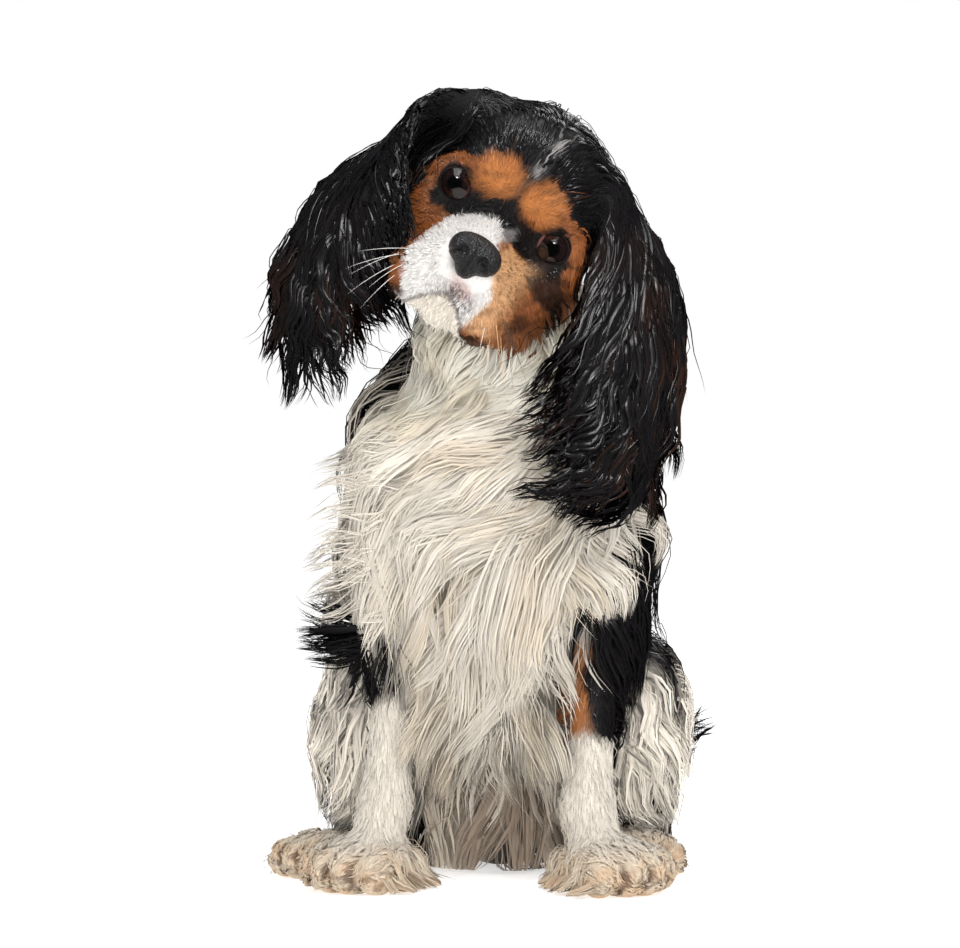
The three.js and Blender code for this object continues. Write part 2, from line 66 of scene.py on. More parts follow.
# Where one coat gives way to the next: heights above the floor, and on the head distances from the nose
NECK_FROM = 240
ARM_FROM = 130
BELLY_TO = 70
LOWEST_ROOT = 12
CROWN_FROM = 70
FACE_TO = 82

# How deep a tuft is rooted, how far it keeps off the flesh, the least share of a step it takes at the floor,
# and the share of tufts that don't gather with the rest
ROOT_DEPTH = 1.5
COAT_CLEARANCE = 0.3
SHORTEST_STEP = 0.12
LOOSE_SHARE = 0.05

# How closely hair is lit as the body under it is, and the reach of a tuft's patch on the unwrap
PALE_SOFTNESS = 0.6
DARK_SOFTNESS = 0.15
PATCH_REACH = 0.0015


def unit(v):
    return v / np.maximum(np.linalg.norm(v, axis=-1, keepdims=True), 1e-9)


def turned(x, y, z):
    """The turn by three angles, as the CAD source makes it."""
    turns = [Matrix.Rotation(math.radians(a), 3, axis) for a, axis in ((x, "X"), (y, "Y"), (z, "Z"))]
    return np.array(turns[0] @ turns[1] @ turns[2])


HEAD_TURN = turned(0, HEAD_ROLL, 0) @ turned(HEAD_PITCH, 0, 0)
HEAD_SPOT = np.array([HEAD_SHIFT, -EYE_FORWARD, EYE_HEIGHT], float)


def head_point(x, y, z):
    return HEAD_TURN @ np.array([x, y, z], float) + HEAD_SPOT


def in_head(p):
    return (p - HEAD_SPOT) @ HEAD_TURN


# How far the frame's origin is from the drawing's, found from the eye of the left side
low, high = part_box("eye_left")
eye_left = head_point(EYE_APART / 2, 0, 0)
SHIFT = np.array([(low[0] + high[0]) * 500 - eye_left[0], (low[1] + high[1]) * 500 - eye_left[1], 0.0])


def to_frame(p):
    return (np.asarray(p, float) + SHIFT) / 1000


# Masses of flesh. Each gives how far points are outside it and which way is out, and the balls it is made of.
class Mass:
    def __init__(self, measure, balls):
        self.measure = measure
        self.balls = balls

    def __call__(self, p):
        return self.measure(p)


def egg(centre, radii, turn=None):
    middle = np.array(centre, float)
    size = np.array(radii, float)
    axes = np.eye(3) if turn is None else turn

    def measure(p):
        q = (p - middle) @ axes
        near = np.linalg.norm(q / size, axis=1)
        pull = q / size**2
        slope = np.maximum(np.linalg.norm(pull, axis=1), 1e-9)
        return near * (near - 1) / slope, (pull / slope[:, None]) @ axes.T

    return Mass(measure, [(middle, size, axes)])


def limb(start, end, start_radius, end_radius):
    a = np.array(start, float)
    run = np.array(end, float) - a

    def measure(p):
        t = np.clip((p - a) @ run / (run @ run), 0, 1)
        away = p - a - t[:, None] * run
        far = np.linalg.norm(away, axis=1)
        return far - (start_radius + (end_radius - start_radius) * t), away / np.maximum(far, 1e-9)[:, None]

    shares = np.linspace(0, 1, 6)
    radii = [start_radius + (end_radius - start_radius) * t for t in shares]
    return Mass(measure, [(a + run * t, np.full(3, r), np.eye(3)) for t, r in zip(shares, radii)])


def flesh(blend, masses):
    """Masses that flow into one another over about the blend distance."""
    def measure(p):
        found = [mass(p) for mass in masses]
        far = np.stack([one[0] for one in found])
        near = far.min(0)
        weight = np.exp((near - far) / blend)
        out = sum(w[:, None] * one[1] for w, one in zip(weight, found))
        return near - blend * np.log(weight.sum(0)), unit(out)

    return Mass(measure, [ball for mass in masses for ball in mass.balls])


def carried(mass, turn, spot):
    """A mass drawn in a frame of its own, at its place on the dog."""
    def measure(p):
        far, out = mass((p - spot) @ turn)
        return far, out @ turn.T

    balls = [(turn @ middle + spot, size, turn @ axes) for middle, size, axes in mass.balls]
    return Mass(measure, balls)


def sunk(mass, depth):
    """The same mass with its surface pulled in by a depth."""
    def measure(p):
        far, out = mass(p)
        return far + depth, out

    return Mass(measure, mass.balls)


def both(make):
    return [make(-1), make(1)]


# The flesh of the dog, before its parts are sunk under their coats: x to its left, y behind it, z up
trunk = flesh(9, [
    limb((6, -54, 322), (MID, -18, 256), 37, 54),
    egg((MID, -8, 205), (70, 64, 86), turned(30, 0, 0)),
    egg((MID, -62, 200), (46, 32, 44), turned(20, 0, 0)),
    egg((MID, -48, 150), (42, 32, 38)),
    egg((MID, 44, 132), (62, 62, 68), turned(38, 0, 0)),
    egg((MID, 88, 58), (66, 58, 60)),
    egg((MID, 26, 52), (46, 38, 54)),
    *both(lambda s: egg((MID + s * 54, -34, 196), (26, 32, 56), turned(12, 0, 0))),
])

head = carried(flesh(4, [
    egg((0, 42, 13), (46, 46, 46)),
    egg((0, 14, 26), (37, 24, 29)),
    *both(lambda s: egg((s * 18, -2, 15), (14, 9, 9))),
    *both(lambda s: egg((s * 31, 6, 0), (15, 11.5, 14))),
    *both(lambda s: egg((s * 37, 18, -16), (16, 25, 21))),
    *both(lambda s: egg((s * 30, 20, -39), (19, 26, 20))),
    *both(lambda s: egg((s * 38, 30, 33), (15, 18, 14))),
    limb((0, 0, -17), (0, -41, -21), 12.5, 12),
    *both(lambda s: limb((s * 15, -8, -29), (s * 12, -39, -30), 14.5, 11.5)),
    *both(lambda s: egg((s * 19.5, -28, -46), (15.5, 19, 18))),
    limb((0, 20, -50), (0, -29, -57), 15, 9),
]), HEAD_TURN, HEAD_SPOT)

nose = carried(flesh(1.8, [
    egg((0, -47, -19), (12.8, 9.2, 8.8)),
    egg((0, -47, -28), (5.8, 6.8, 6)),
    *both(lambda s: egg((s * 7.8, -49, -20.5), (6, 6.8, 6.6))),
]), HEAD_TURN, HEAD_SPOT)

# The legs: which side, where a foreleg's wrist is, where the paw is, and which way it points in degrees
FORE = {"right": (-1, (-58, -58), (-68, -70), -42), "left": (1, (50, -68), (62, -82), 40)}
HIND = {"right": (-1, (-94, -2), -30), "left": (1, (80, 6), 8)}
FORE_SIZE = 1.05
HIND_SIZE = 0.9
TOES = (-1.5, -0.5, 0.5, 1.5)
TOE_APART = 12
TOE_FAN = 9


def fore_leg(side):
    s, (x, y), _, _ = FORE[side]
    return flesh(6, [
        limb((MID + s * 54, -40, 186), (MID + s * 52, -44, 142), 26, 20),
        limb((MID + s * 52, -48, 142), (x, y, 44), 16, 12),
        limb((x, y, 44), (x + s * 5, y - 8, 22), 12, 13.5),
    ])


def hind_leg(side):
    s = HIND[side][0]
    return flesh(8, [
        egg((MID + s * 62, 46, 88), (27, 62, 54), turned(-12, 0, 0)),
        egg((MID + s * 72, -4, 108), (20, 24, 28)),
        limb((MID + s * 76, 4, 92), (MID + s * 74, 78, 30), 20, 13),
        limb((MID + s * 74, 80, 10), (MID + s * 76, 26, 9), 14, 13),
    ])


def paw_spot(paw, heading, size, ahead, aside):
    turn = math.radians(heading)
    x = paw[0] + (ahead * math.sin(turn) + aside * math.cos(turn)) * size
    y = paw[1] + (aside * math.sin(turn) - ahead * math.cos(turn)) * size
    return x, y


def paw_flesh(paw, heading, size):
    def part(ahead, aside, height, radii, turn):
        x, y = paw_spot(paw, heading, size, ahead, aside)
        return egg((x, y, height * size), [r * size for r in radii], turned(0, 0, turn))

    toes = [
        part(17 - 3.2 * n * n, n * TOE_APART, 11, (9, 15, 12.5), heading + n * TOE_FAN) for n in TOES
    ]
    pad = part(0, 0, 14, (23, 21, 15), heading)
    heel = part(-20, 0, 11, (15, 18, 12.5), heading)
    return flesh(2.4, [*toes, pad, heel])


tail = flesh(5, [
    limb((0, 126, 40), (26, 162, 24), 18, 16),
    limb((26, 162, 24), (72, 166, 34), 16, 13),
    limb((72, 166, 34), (106, 140, 64), 13, 8),
])

# The ear leathers: where each hangs, and which way its flat side lies
EARS = {
    "right": {
        "points": [
            head_point(-36, 32, 38), (-34, -82, 406), (-65, -88, 379), (-87, -91, 342), (-95, -94, 302),
        ],
        "sides": [(0.5, -0.5, 0.7), (0.75, -0.45, 0.45), (0.92, -0.4, 0)],
    },
    "left": {
        "points": [
            head_point(38, 30, 36), (73, -84, 340), (73, -94, 302), (69, -101, 264), (66, -106, 228),
        ],
        "sides": [(-0.6, -0.6, 0.5), (-0.85, -0.5, 0), (-0.9, -0.42, 0)],
    },
}
EAR_SLICES = 14


def along(points, shares):
    """Places at shares of the way along a line of points, smoothly curved."""
    points = np.array(points, float)
    last = len(points) - 1
    spot = np.clip(np.asarray(shares, float), 0, 1) * last
    n = np.minimum(spot.astype(int), last - 1)
    t = (spot - n)[:, None]
    before, a, b, after = (points[np.clip(n + k, 0, last)] for k in (-1, 0, 1, 2))
    return 0.5 * (2 * a + (b - before) * t + (2 * before - 5 * a + 4 * b - after) * t**2
                  + (3 * a - before - 3 * b + after) * t**3)


def ear_slices(side):
    shares = np.linspace(0.04, 0.96, EAR_SLICES)
    middles = along(EARS[side]["points"], shares)
    forward = unit(along(EARS[side]["points"], shares + 0.02) - along(EARS[side]["points"], shares - 0.02))
    wanted = along(EARS[side]["sides"], shares)
    across = unit(wanted - (wanted * forward).sum(1)[:, None] * forward)
    face = np.cross(forward, across)
    width = 31 * np.sin(np.pi * np.minimum(1, 0.13 + 0.84 * shares)) ** 0.55
    width = np.minimum(width, 9 + 62 * shares)
    return middles, forward, across, face, width, shares


def ear_leather(side):
    middles, forward, across, face, width, shares = ear_slices(side)
    reach = np.linalg.norm(middles[-1] - middles[0]) / EAR_SLICES * 1.5
    return flesh(2, [
        egg(middle, (w, reach, 6.0 - 1.5 * t), np.column_stack([a, f, n]))
        for middle, f, a, n, w, t in zip(middles, forward, across, face, width, shares)
    ])


# How deep the skin lies under the solid's own surface, part by part
PARTS = {
    "trunk": sunk(trunk, 6),
    "head": sunk(head, 1.2),
    "fore_right": sunk(fore_leg("right"), 1.8),
    "fore_left": sunk(fore_leg("left"), 1.8),
    "fore_paw_right": sunk(paw_flesh(FORE["right"][2], FORE["right"][3], FORE_SIZE), 1.2),
    "fore_paw_left": sunk(paw_flesh(FORE["left"][2], FORE["left"][3], FORE_SIZE), 1.2),
    "hind_right": sunk(hind_leg("right"), 5),
    "hind_left": sunk(hind_leg("left"), 5),
    "hind_paw_right": sunk(paw_flesh(HIND["right"][1], HIND["right"][2], HIND_SIZE), 1.2),
    "hind_paw_left": sunk(paw_flesh(HIND["left"][1], HIND["left"][2], HIND_SIZE), 1.2),
    "tail": sunk(tail, 4),
    "ear_right": sunk(ear_leather("right"), 1.5),
    "ear_left": sunk(ear_leather("left"), 1.5),
}
PART_NAMES = list(PARTS)
whole = flesh(3, list(PARTS.values()))
without_ears = flesh(3, [mass for name, mass in PARTS.items() if not name.startswith("ear")])


def in_lots(mass, p, size=20000):
    """Measures many points a lot at a time, which is quicker."""
    found = [mass(p[n:n + size]) for n in range(0, len(p), size)]
    return np.concatenate([one[0] for one in found]), np.concatenate([one[1] for one in found])


def nearest_part(p):
    return np.argmin(np.stack([in_lots(mass, p)[0] for mass in PARTS.values()]), axis=0)


# Markings of the coat
def smooth(low_end, high_end, value):
    t = np.clip((value - low_end) / (high_end - low_end), 0, 1)
    return t * t * (3 - 2 * t)


def ripple(p, length, seed):
    """A soft random pattern over space, about -1 to 1."""
    draw = np.random.default_rng(seed)
    total = 0
    for _ in range(6):
        wave = unit(draw.normal(size=3)) * 2 * np.pi / (length * draw.uniform(0.7, 1.6))
        total = total + np.sin(p @ wave + draw.uniform(0, 2 * np.pi))
    return total / 2.4


# Colours of the coat and of the bare skin of the lips
BLACK = np.array([0.010, 0.009, 0.010])
BROWN = np.array([0.050, 0.020, 0.010])
TAN = np.array([0.34, 0.105, 0.026])
GOLD = np.array([0.55, 0.188, 0.043])
PALE_TAN = np.array([0.82, 0.46, 0.22])
SNOW = np.array([0.88, 0.845, 0.81])
WHITE = np.array([0.92, 0.84, 0.725])
CREAM = np.array([0.90, 0.765, 0.575])
PAW = np.array([0.76, 0.63, 0.475])
# The belly's grey-tan, partly the hair's own colour and partly painted shade under the chest
BELLY_HAIR_AND_SHADE = np.array([0.30, 0.225, 0.165])
GREY = np.array([0.40, 0.38, 0.37])
LIP = np.array([0.62, 0.42, 0.40])


def painted(colour, mask, over):
    return over + (colour - over) * np.clip(mask, 0, 1)[:, None]


def spot_mask(u, v, centre, radii, angle=0, soft=0.35):
    """1 inside an oval, 0 outside it, with a soft edge."""
    c, s = math.cos(math.radians(angle)), math.sin(math.radians(angle))
    du, dv = u - centre[0], v - centre[1]
    far = np.hypot((du * c + dv * s) / radii[0], (dv * c - du * s) / radii[1])
    return 1 - smooth(1 - soft / 2, 1 + soft / 2, far)


# The white of the muzzle, from its left edge to its right edge at heights below the eyes
BLAZE_DOWN = (4, 8, 16, 31, 44, 60, 72)
BLAZE_FROM = (-8, -15, -23, -28.5, -30.5, -25, -22)
BLAZE_TO = (-2, 4, 8, 13, 19, 15, 15)

# The edge of the upper lip, as places across and down the face, alike on both sides
LIP_EDGE = ((0, 51), (8, 56.5), (13, 62), (18, 68), (30, 69.5), (43, 57), (52, 46))


def face_on(p):
    """How far points are across and down the face, seen from straight in front."""
    q = in_head(p)
    tilt = math.radians(HEAD_PITCH)
    return q[:, 0], -(q[:, 1] * math.sin(tilt) + q[:, 2] * math.cos(tilt)), q[:, 1]


def lip_distance(u, v):
    """How far places on the face are from the edge of the upper lip."""
    edge = np.array(LIP_EDGE, float)
    best = np.full(len(u), 1e9)
    spot = np.column_stack([np.abs(u), v])
    for a, b in zip(edge[:-1], edge[1:]):
        t = np.clip(((spot - a) @ (b - a)) / ((b - a) @ (b - a)), 0, 1)
        best = np.minimum(best, np.linalg.norm(spot - a - t[:, None] * (b - a), axis=1))
    return best


def head_markings(p):
    u, v, depth = face_on(p)
    lip = lip_distance(u, v)
    u = u + ripple(p, 12, 3) * 1.1
    v = v + ripple(p, 11, 4) * 1.1
    front = 1 - smooth(26, 42, depth)

    def spot(centre, radii, angle=0, soft=0.35):
        return front * spot_mask(u, v, centre, radii, angle, soft)

    colour = np.tile(BLACK, (len(p), 1))
    # The tan of the cheeks, and round the eyes and brows
    cheek = smooth(10, 14, v) * (1 - smooth(64, 70, v)) * (1 - smooth(52, 57, np.abs(u)))
    colour = painted(TAN, front * cheek, colour)
    for s in (-1, 1):
        ring = np.hypot(u - s * 30.5, v)
        above = (1 - smooth(2.6, 4.0, np.abs(ring - 13.6))) * (1 - smooth(-1, 4, v)) * smooth(20, 24, s * u)
        colour = painted(TAN, front * above, colour)
        colour = painted(TAN * 0.8, spot((s * 15, -14), (12.5, 12), s * 25), colour)
        colour = painted(GOLD, spot((s * 13.5, -14), (11.5, 10.5), s * 25, 0.9), colour)
    # The dark round each eye and between them
    colour = painted(TAN, spot((-41.5, 11), (4, 12), 16), colour)
    colour = painted(BLACK, spot((-26, 10), (13, 5.5), -18), colour)
    colour = painted(BLACK, 0.8 * spot((-37, 2), (3.5, 7), 10), colour)
    colour = painted(BROWN * 0.8, 0.95 * spot((37, 18), (15, 9), 38), colour)
    colour = painted(BLACK, 0.8 * spot((29, 10), (12, 6), 10), colour)
    colour = painted(TAN, spot((45, 7), (3, 4.5), 20), colour)
    colour = painted(BLACK, 0.9 * spot((50.5, 30), (3, 10), -12), colour)
    colour = painted(BROWN, 0.7 * spot((38, 44), (3.5, 9), 30, 1.2), colour)
    colour = painted(BLACK, spot((15, 3.5), (12, 5.5), -6), colour)
    colour = painted(BLACK, spot((-7, 0), (11, 3.5), -38), colour)
    # The muzzle: pale tan at one side, white down the middle, and its small marks
    near_nose = front * smooth(8, 12, u) * (1 - smooth(24, 36, u))
    near_nose = near_nose * smooth(11, 16, v) * (1 - smooth(58, 64, v))
    colour = painted(PALE_TAN, 0.8 * near_nose, colour)
    left_edge = np.interp(v, BLAZE_DOWN, BLAZE_FROM)
    right_edge = np.interp(v, BLAZE_DOWN, BLAZE_TO)
    blaze = smooth(left_edge - 1.5, left_edge + 1.5, u) * (1 - smooth(right_edge - 2, right_edge + 2, u))
    blaze = blaze * smooth(4, 7, v) * front
    colour = painted(SNOW, blaze, colour)
    colour = painted(GREY, 0.6 * spot((9, 8), (3.5, 5), 30, 1.0), colour)
    colour = painted(LIP, 0.75 * spot((4, 46), (8, 4.5), 25, 0.9), colour)
    specks = smooth(0.2, 0.6, ripple(p, 2.6, 5))
    colour = painted(GREY * 0.4, 0.8 * specks * spot((7, 51), (9, 5), 40, 0.9), colour)
    colour = painted(GREY * 0.5, 0.6 * specks * spot((-9.5, 39), (5, 7), 15, 1.0), colour)
    colour = painted(GREY * 0.25, 0.8 * spot((-5, 37), (5, 4), 0, 1.0), colour)
    # Dark brown along the lip line on each side: partly the dark lips, partly painted shade in the crease of
    # the mouth
    colour = painted(BROWN, 0.9 * spot((27, 67), (13, 4), 0, 0.6), colour)
    colour = painted(BROWN, 0.9 * spot((-25, 69), (5, 6), 20, 0.8), colour)
    # The white throat under the line of the lips, and the grey streak up the forehead
    below = np.interp(np.abs(u), [x for x, _ in LIP_EDGE], [down for _, down in LIP_EDGE])
    throat = smooth(0, 2.0, v - below) * (1 - smooth(36, 46, np.abs(u))) * (1 - smooth(34, 50, depth))
    colour = painted(WHITE, throat, colour)
    # A brown line along the edge of the upper lip: partly the dark lip rim, partly painted shade in the
    # crease of the mouth
    colour = painted(BROWN, 0.6 * front * (1 - smooth(0.4, 1.5, lip)) * smooth(49, 52, v), colour)
    # Grey up the middle of the forehead: partly grey-white hairs, partly a painted sheen along the parting
    grey_hairs_and_sheen = spot((2.5, -34), (3.2, 14), 12, 1.4) * smooth(-0.3, 0.5, ripple(p, 2.2, 15))
    colour = painted(GREY * 1.1, 0.65 * grey_hairs_and_sheen, colour)
    rusty = front * smooth(0.1, 1.0, ripple(p, 6, 6)) * (colour[:, 0] > 2.2 * colour[:, 2])
    return painted(colour * 0.55, 0.8 * rusty, colour)


def bib_edge(x, z):
    """How far back the white of the chest reaches, at places across and up the body."""
    low_right = smooth(40, 60, -x) * smooth(128, 145, z) * (1 - smooth(185, 200, z))
    slant = 0.28 - 0.18 * smooth(222, 242, z)
    return -20 - slant * np.abs(x) + 24 * low_right - 0.2 * np.maximum(0, z - 252)


def body_markings(p):
    x = p[:, 0] - MID + ripple(p, 40, 7) * 4
    y = p[:, 1] + ripple(p, 36, 8) * 6
    z = p[:, 2] + ripple(p, 34, 9) * 6
    left_reach = np.interp(z, (118, 138, 152, 190, 230), (26, 34, 66, 70, 54))
    right_reach = np.interp(z, (100, 138, 146, 178, 188, 214, 224, 245), (50, 50, 92, 92, 62, 62, 84, 62))
    reach = np.where(x > 0, left_reach, right_reach)
    edge = bib_edge(x, z)
    bib = (1 - smooth(edge - 5, edge + 5, y)) * (1 - smooth(reach - 3, reach + 3, np.abs(x)))
    bib = np.maximum(bib, (z < 100) * (1 - smooth(20, 50, y)) * (np.abs(x) < 60))
    colour = painted(WHITE, bib, np.tile(BLACK, (len(p), 1)))
    cream = smooth(-0.4, 0.8, ripple(p, 30, 10)) * (1 - smooth(30, 70, np.abs(x)))
    colour = painted(CREAM, 0.7 * cream * bib, colour)
    # Every colour is dimmed, and the white bib less so towards the top of the chest: painted light against
    # the shade under the chin
    colour = np.minimum(colour * (0.84 + 0.24 * smooth(220, 262, z) * bib)[:, None], 0.95)
    # Low between the forelegs: a grey-tan belly with brown blotches, partly the hair's own colour and partly
    # painted shade under the chest, and a near-black painted shadow where it meets the floor
    low_and_shaded = (1 - smooth(66, 86, z)) * bib
    colour = painted(BELLY_HAIR_AND_SHADE, 0.9 * low_and_shaded * spot_mask(x, z, (6, 46), (27, 30), 0, 0.9), colour)
    colour = painted(BROWN, 0.55 * low_and_shaded * smooth(0.2, 0.9, ripple(p, 11, 11)), colour)
    return painted(BLACK, 0.9 * low_and_shaded * spot_mask(x, z, (8, 6), (22, 14), 0, 0.8), colour)


def fore_markings(p, s):
    x = (p[:, 0] - MID) * s + ripple(p, 22, 12) * 2.5
    y = p[:, 1] + ripple(p, 26, 13) * 3
    z = p[:, 2] + ripple(p, 24, 14) * 4
    low_end = 84 if s > 0 else 100
    high_end = 400 if s > 0 else 142
    inner_end = 43 if s > 0 else 52
    black = smooth(low_end - 4, low_end + 4, z + 0.25 * (x - 50)) * smooth(inner_end - 3, inner_end + 3, x)
    black = black * (1 - smooth(high_end - 6, high_end + 6, z))
    black = black * (1 - smooth(-42, -34, y) * (1 - smooth(112, 122, z)))
    colour = painted(BLACK, black, np.tile(WHITE * 0.84, (len(p), 1)))
    inner = smooth(84, 90, z) * (1 - smooth(43, 48, x)) * (1 - smooth(126, 134, z)) * smooth(22, 27, x)
    return painted(GOLD * 0.8, inner * (0.95 if s > 0 else 0.3), colour)


def hind_markings(p, s):
    z = p[:, 2] + ripple(p, 30, 16) * 7
    y = p[:, 1] + ripple(p, 30, 17) * 7
    high_end = 128 if s < 0 else 120
    white = (1 - smooth(high_end - 6, high_end + 6, z)) * (1 - smooth(22, 36, y)) * smooth(42, 54, z)
    white = np.maximum(white, (1 - smooth(16, 30, y)) * (1 - smooth(30, 44, z)))
    colour = painted(WHITE, white, np.tile(BLACK, (len(p), 1)))
    ticks = smooth(0.75, 0.95, ripple(p, 7, 18))
    colour = painted(BLACK * 4, 0.8 * ticks * white, colour)
    return painted(TAN, (1 - smooth(40, 50, z)) * smooth(46, 56, y) * 0.8, colour)


def paw_markings(p, paw, heading, size):
    turn = math.radians(heading)
    x, y = (p[:, 0] - paw[0]) / size, (p[:, 1] - paw[1]) / size
    aside = x * math.cos(turn) + y * math.sin(turn)
    ahead = x * math.sin(turn) - y * math.cos(turn)
    gap = np.minimum(np.abs(aside), np.abs(np.abs(aside) - TOE_APART - 0.16 * (ahead - 14)))
    stain = smooth(-0.5, 0.6, ripple(p, 14, 21)) * (1 - smooth(12, 30, p[:, 2]))
    colour = painted(WHITE * 0.84, smooth(16, 30, p[:, 2]), np.tile(PAW, (len(p), 1)))
    colour = painted(PALE_TAN * 0.9, 0.4 * stain, colour)
    # Darker brown blotches towards the floor
    low_blotches = smooth(0.45, 1.1, ripple(p, 7, 22)) * (1 - smooth(8, 22, p[:, 2]))
    colour = painted(BROWN * 3, 0.5 * low_blotches, colour)
    # Painted shade in the creases between the toes
    shade_between_toes = (1 - smooth(0.8, 2.6, gap)) * smooth(8, 15, ahead) * (1 - smooth(14, 21, p[:, 2]))
    return painted(BROWN * 2.5, 0.75 * shade_between_toes, colour)


def ear_markings(p):
    brown = smooth(0.2, 0.9, ripple(p, 26, 24)) * (1 - smooth(300, 380, p[:, 2]))
    return painted(BROWN * 0.8, 0.6 * brown, np.tile(BLACK, (len(p), 1)))


def markings(p, part):
    """The colour of the coat at places on the dog, each given with the number of its part."""
    painters = {
        "trunk": body_markings,
        "head": head_markings,
        "fore_right": lambda q: fore_markings(q, -1),
        "fore_left": lambda q: fore_markings(q, 1),
        "hind_right": lambda q: hind_markings(q, -1),
        "hind_left": lambda q: hind_markings(q, 1),
        "tail": lambda q: np.tile(BLACK, (len(q), 1)),
        "ear_right": ear_markings,
        "ear_left": ear_markings,
        "fore_paw_right": lambda q: paw_markings(q, *FORE["right"][2:], FORE_SIZE),
        "fore_paw_left": lambda q: paw_markings(q, *FORE["left"][2:], FORE_SIZE),
        "hind_paw_right": lambda q: paw_markings(q, *HIND["right"][1:], HIND_SIZE),
        "hind_paw_left": lambda q: paw_markings(q, *HIND["left"][1:], HIND_SIZE),
    }
    colour = np.zeros((len(p), 3))
    for n, name in enumerate(PART_NAMES):
        here = part == n
        if here.any():
            colour[here] = painters[name](p[here])
    return colour


# Materials
class Level:
    """One socket of a material, so that sums over the surface read as sums."""
    def __init__(self, finish, socket):
        self.finish = finish
        self.socket = socket

    def maths(self, operation, *values):
        return self.finish.node("ShaderNodeMath", {"operation": operation}, dict(enumerate(values)))

    def __add__(self, other):
        return self.maths("ADD", self, other)

    __radd__ = __add__

    def __sub__(self, other):
        return self.maths("SUBTRACT", self, other)

    def __rsub__(self, other):
        return self.maths("SUBTRACT", other, self)

    def __mul__(self, other):
        return self.maths("MULTIPLY", self, other)

    __rmul__ = __mul__

    def __pow__(self, other):
        return self.maths("POWER", self, other)


class Finish:
    """A material and the nodes that give it its look."""
    def __init__(self, name, **settled):
        self.material = bpy.data.materials.new(name)
        self.material.use_nodes = True
        self.tree = self.material.node_tree
        self.shader = self.tree.nodes["Principled BSDF"]
        for socket, value in settled.items():
            self.shader.inputs[socket.replace("_", " ")].default_value = value

    def node(self, kind, settings=None, values=None, out=0):
        made = self.tree.nodes.new(kind)
        for name, value in (settings or {}).items():
            if name == "stops":
                ramp = made.color_ramp
                while len(ramp.elements) < len(value):
                    ramp.elements.new(1.0)
                for element, (place, colour) in zip(ramp.elements, value):
                    element.position = place
                    element.color = colour
            else:
                setattr(made, name, value)
        for key, value in (values or {}).items():
            if isinstance(value, Level):
                self.tree.links.new(value.socket, made.inputs[key])
            else:
                made.inputs[key].default_value = value
        return Level(self, made.outputs[out])

    def feed(self, socket, level):
        self.tree.links.new(level.socket, self.shader.inputs[socket])

    def mix(self, share, first, second):
        """One colour over another, by a share of 0 to 1."""
        return self.node("ShaderNodeMix", {"data_type": "RGBA"}, {0: share, 6: first, 7: second}, out=2)

    def scaled(self, colour, level):
        """A colour made darker or lighter by a level."""
        return self.node("ShaderNodeVectorMath", {"operation": "SCALE"}, {0: colour, 3: level})

    def place(self):
        return self.node("ShaderNodeTexCoord", out="Object")

    def noise(self, scale, detail=2.0, rough=0.5):
        values = {"Vector": self.place(), "Scale": scale, "Detail": detail, "Roughness": rough}
        return self.node("ShaderNodeTexNoise", None, values)

    def bump(self, height, depth, strength=1.0):
        values = {"Height": height, "Distance": depth, "Strength": strength}
        self.feed("Normal", self.node("ShaderNodeBump", None, values))


def fur_finish():
    """Hair: each strand is lined along its length as a few hairs are, and dark hair shines more."""
    # Emission_Strength gives all hair a faint painted glow, painted light that lifts the shade among the
    # strands
    finish = Finish("fur", Specular_IOR_Level=0.5, Emission_Strength=0.09)
    colour = finish.node("ShaderNodeVertexColor", {"layer_name": "coat"})
    along_strand = finish.node("ShaderNodeUVMap", {"uv_map": "strand"})
    spread = finish.node("ShaderNodeMapping", None, {"Vector": along_strand, "Scale": (1.3, 0.025, 1.0)})
    hairs = finish.node("ShaderNodeTexNoise", None, {"Vector": spread, "Scale": 1.0, "Detail": 2.0})
    tone = finish.node("ShaderNodeMapRange", None, {0: hairs, 1: 0.3, 2: 0.7, 3: 0.84, 4: 1.05})
    lined = finish.scaled(colour, tone)
    finish.feed("Base Color", lined)
    # The painted glow takes the lined colour of the hair itself
    finish.feed("Emission Color", lined)
    pale = finish.node("ShaderNodeSeparateColor", None, {0: colour})
    finish.feed("Roughness", pale * 0.4 + hairs * 0.16 + 0.19)
    finish.bump(hairs, 0.0003, 0.45)
    return finish.material


def skin_finish():
    finish = Finish("skin_and_undercoat", Roughness=0.8)
    colour = finish.node("ShaderNodeVertexColor", {"layer_name": "coat"})
    hair = finish.noise(700.0, 3.0)
    finish.feed("Base Color", finish.scaled(colour, hair * 0.3 + 0.72))
    finish.bump(hair, 0.0008)
    return finish.material


def floor_finish():
    finish = Finish("floor_paper", Base_Color=(0.9, 0.9, 0.9, 1), Roughness=1.0, Specular_IOR_Level=0.0,
                    Emission_Color=(1, 1, 1, 1), Emission_Strength=0.6)
    return finish.material


def eye_finish():
    finish = Finish("eye_glass", Roughness=0.04, Specular_IOR_Level=0.8)
    colour = finish.node("ShaderNodeVertexColor", {"layer_name": "coat"})
    fibre = finish.noise(900.0, 3.0)
    finish.feed("Base Color", finish.scaled(colour, fibre * 0.6 + 0.6))
    return finish.material


def nose_finish():
    finish = Finish("nose_leather", Roughness=0.42, Specular_IOR_Level=0.7)
    cells = {"Vector": finish.place(), "Scale": 820.0}
    pebble = finish.node("ShaderNodeTexVoronoi", {"feature": "F1"}, cells)
    finish.feed("Base Color", finish.mix(pebble * 0.8, (0.034, 0.032, 0.034, 1), (0.008, 0.008, 0.008, 1)))
    finish.feed("Roughness", pebble * 0.25 + 0.28)
    finish.bump(1.0 - pebble, 0.0006)
    return finish.material


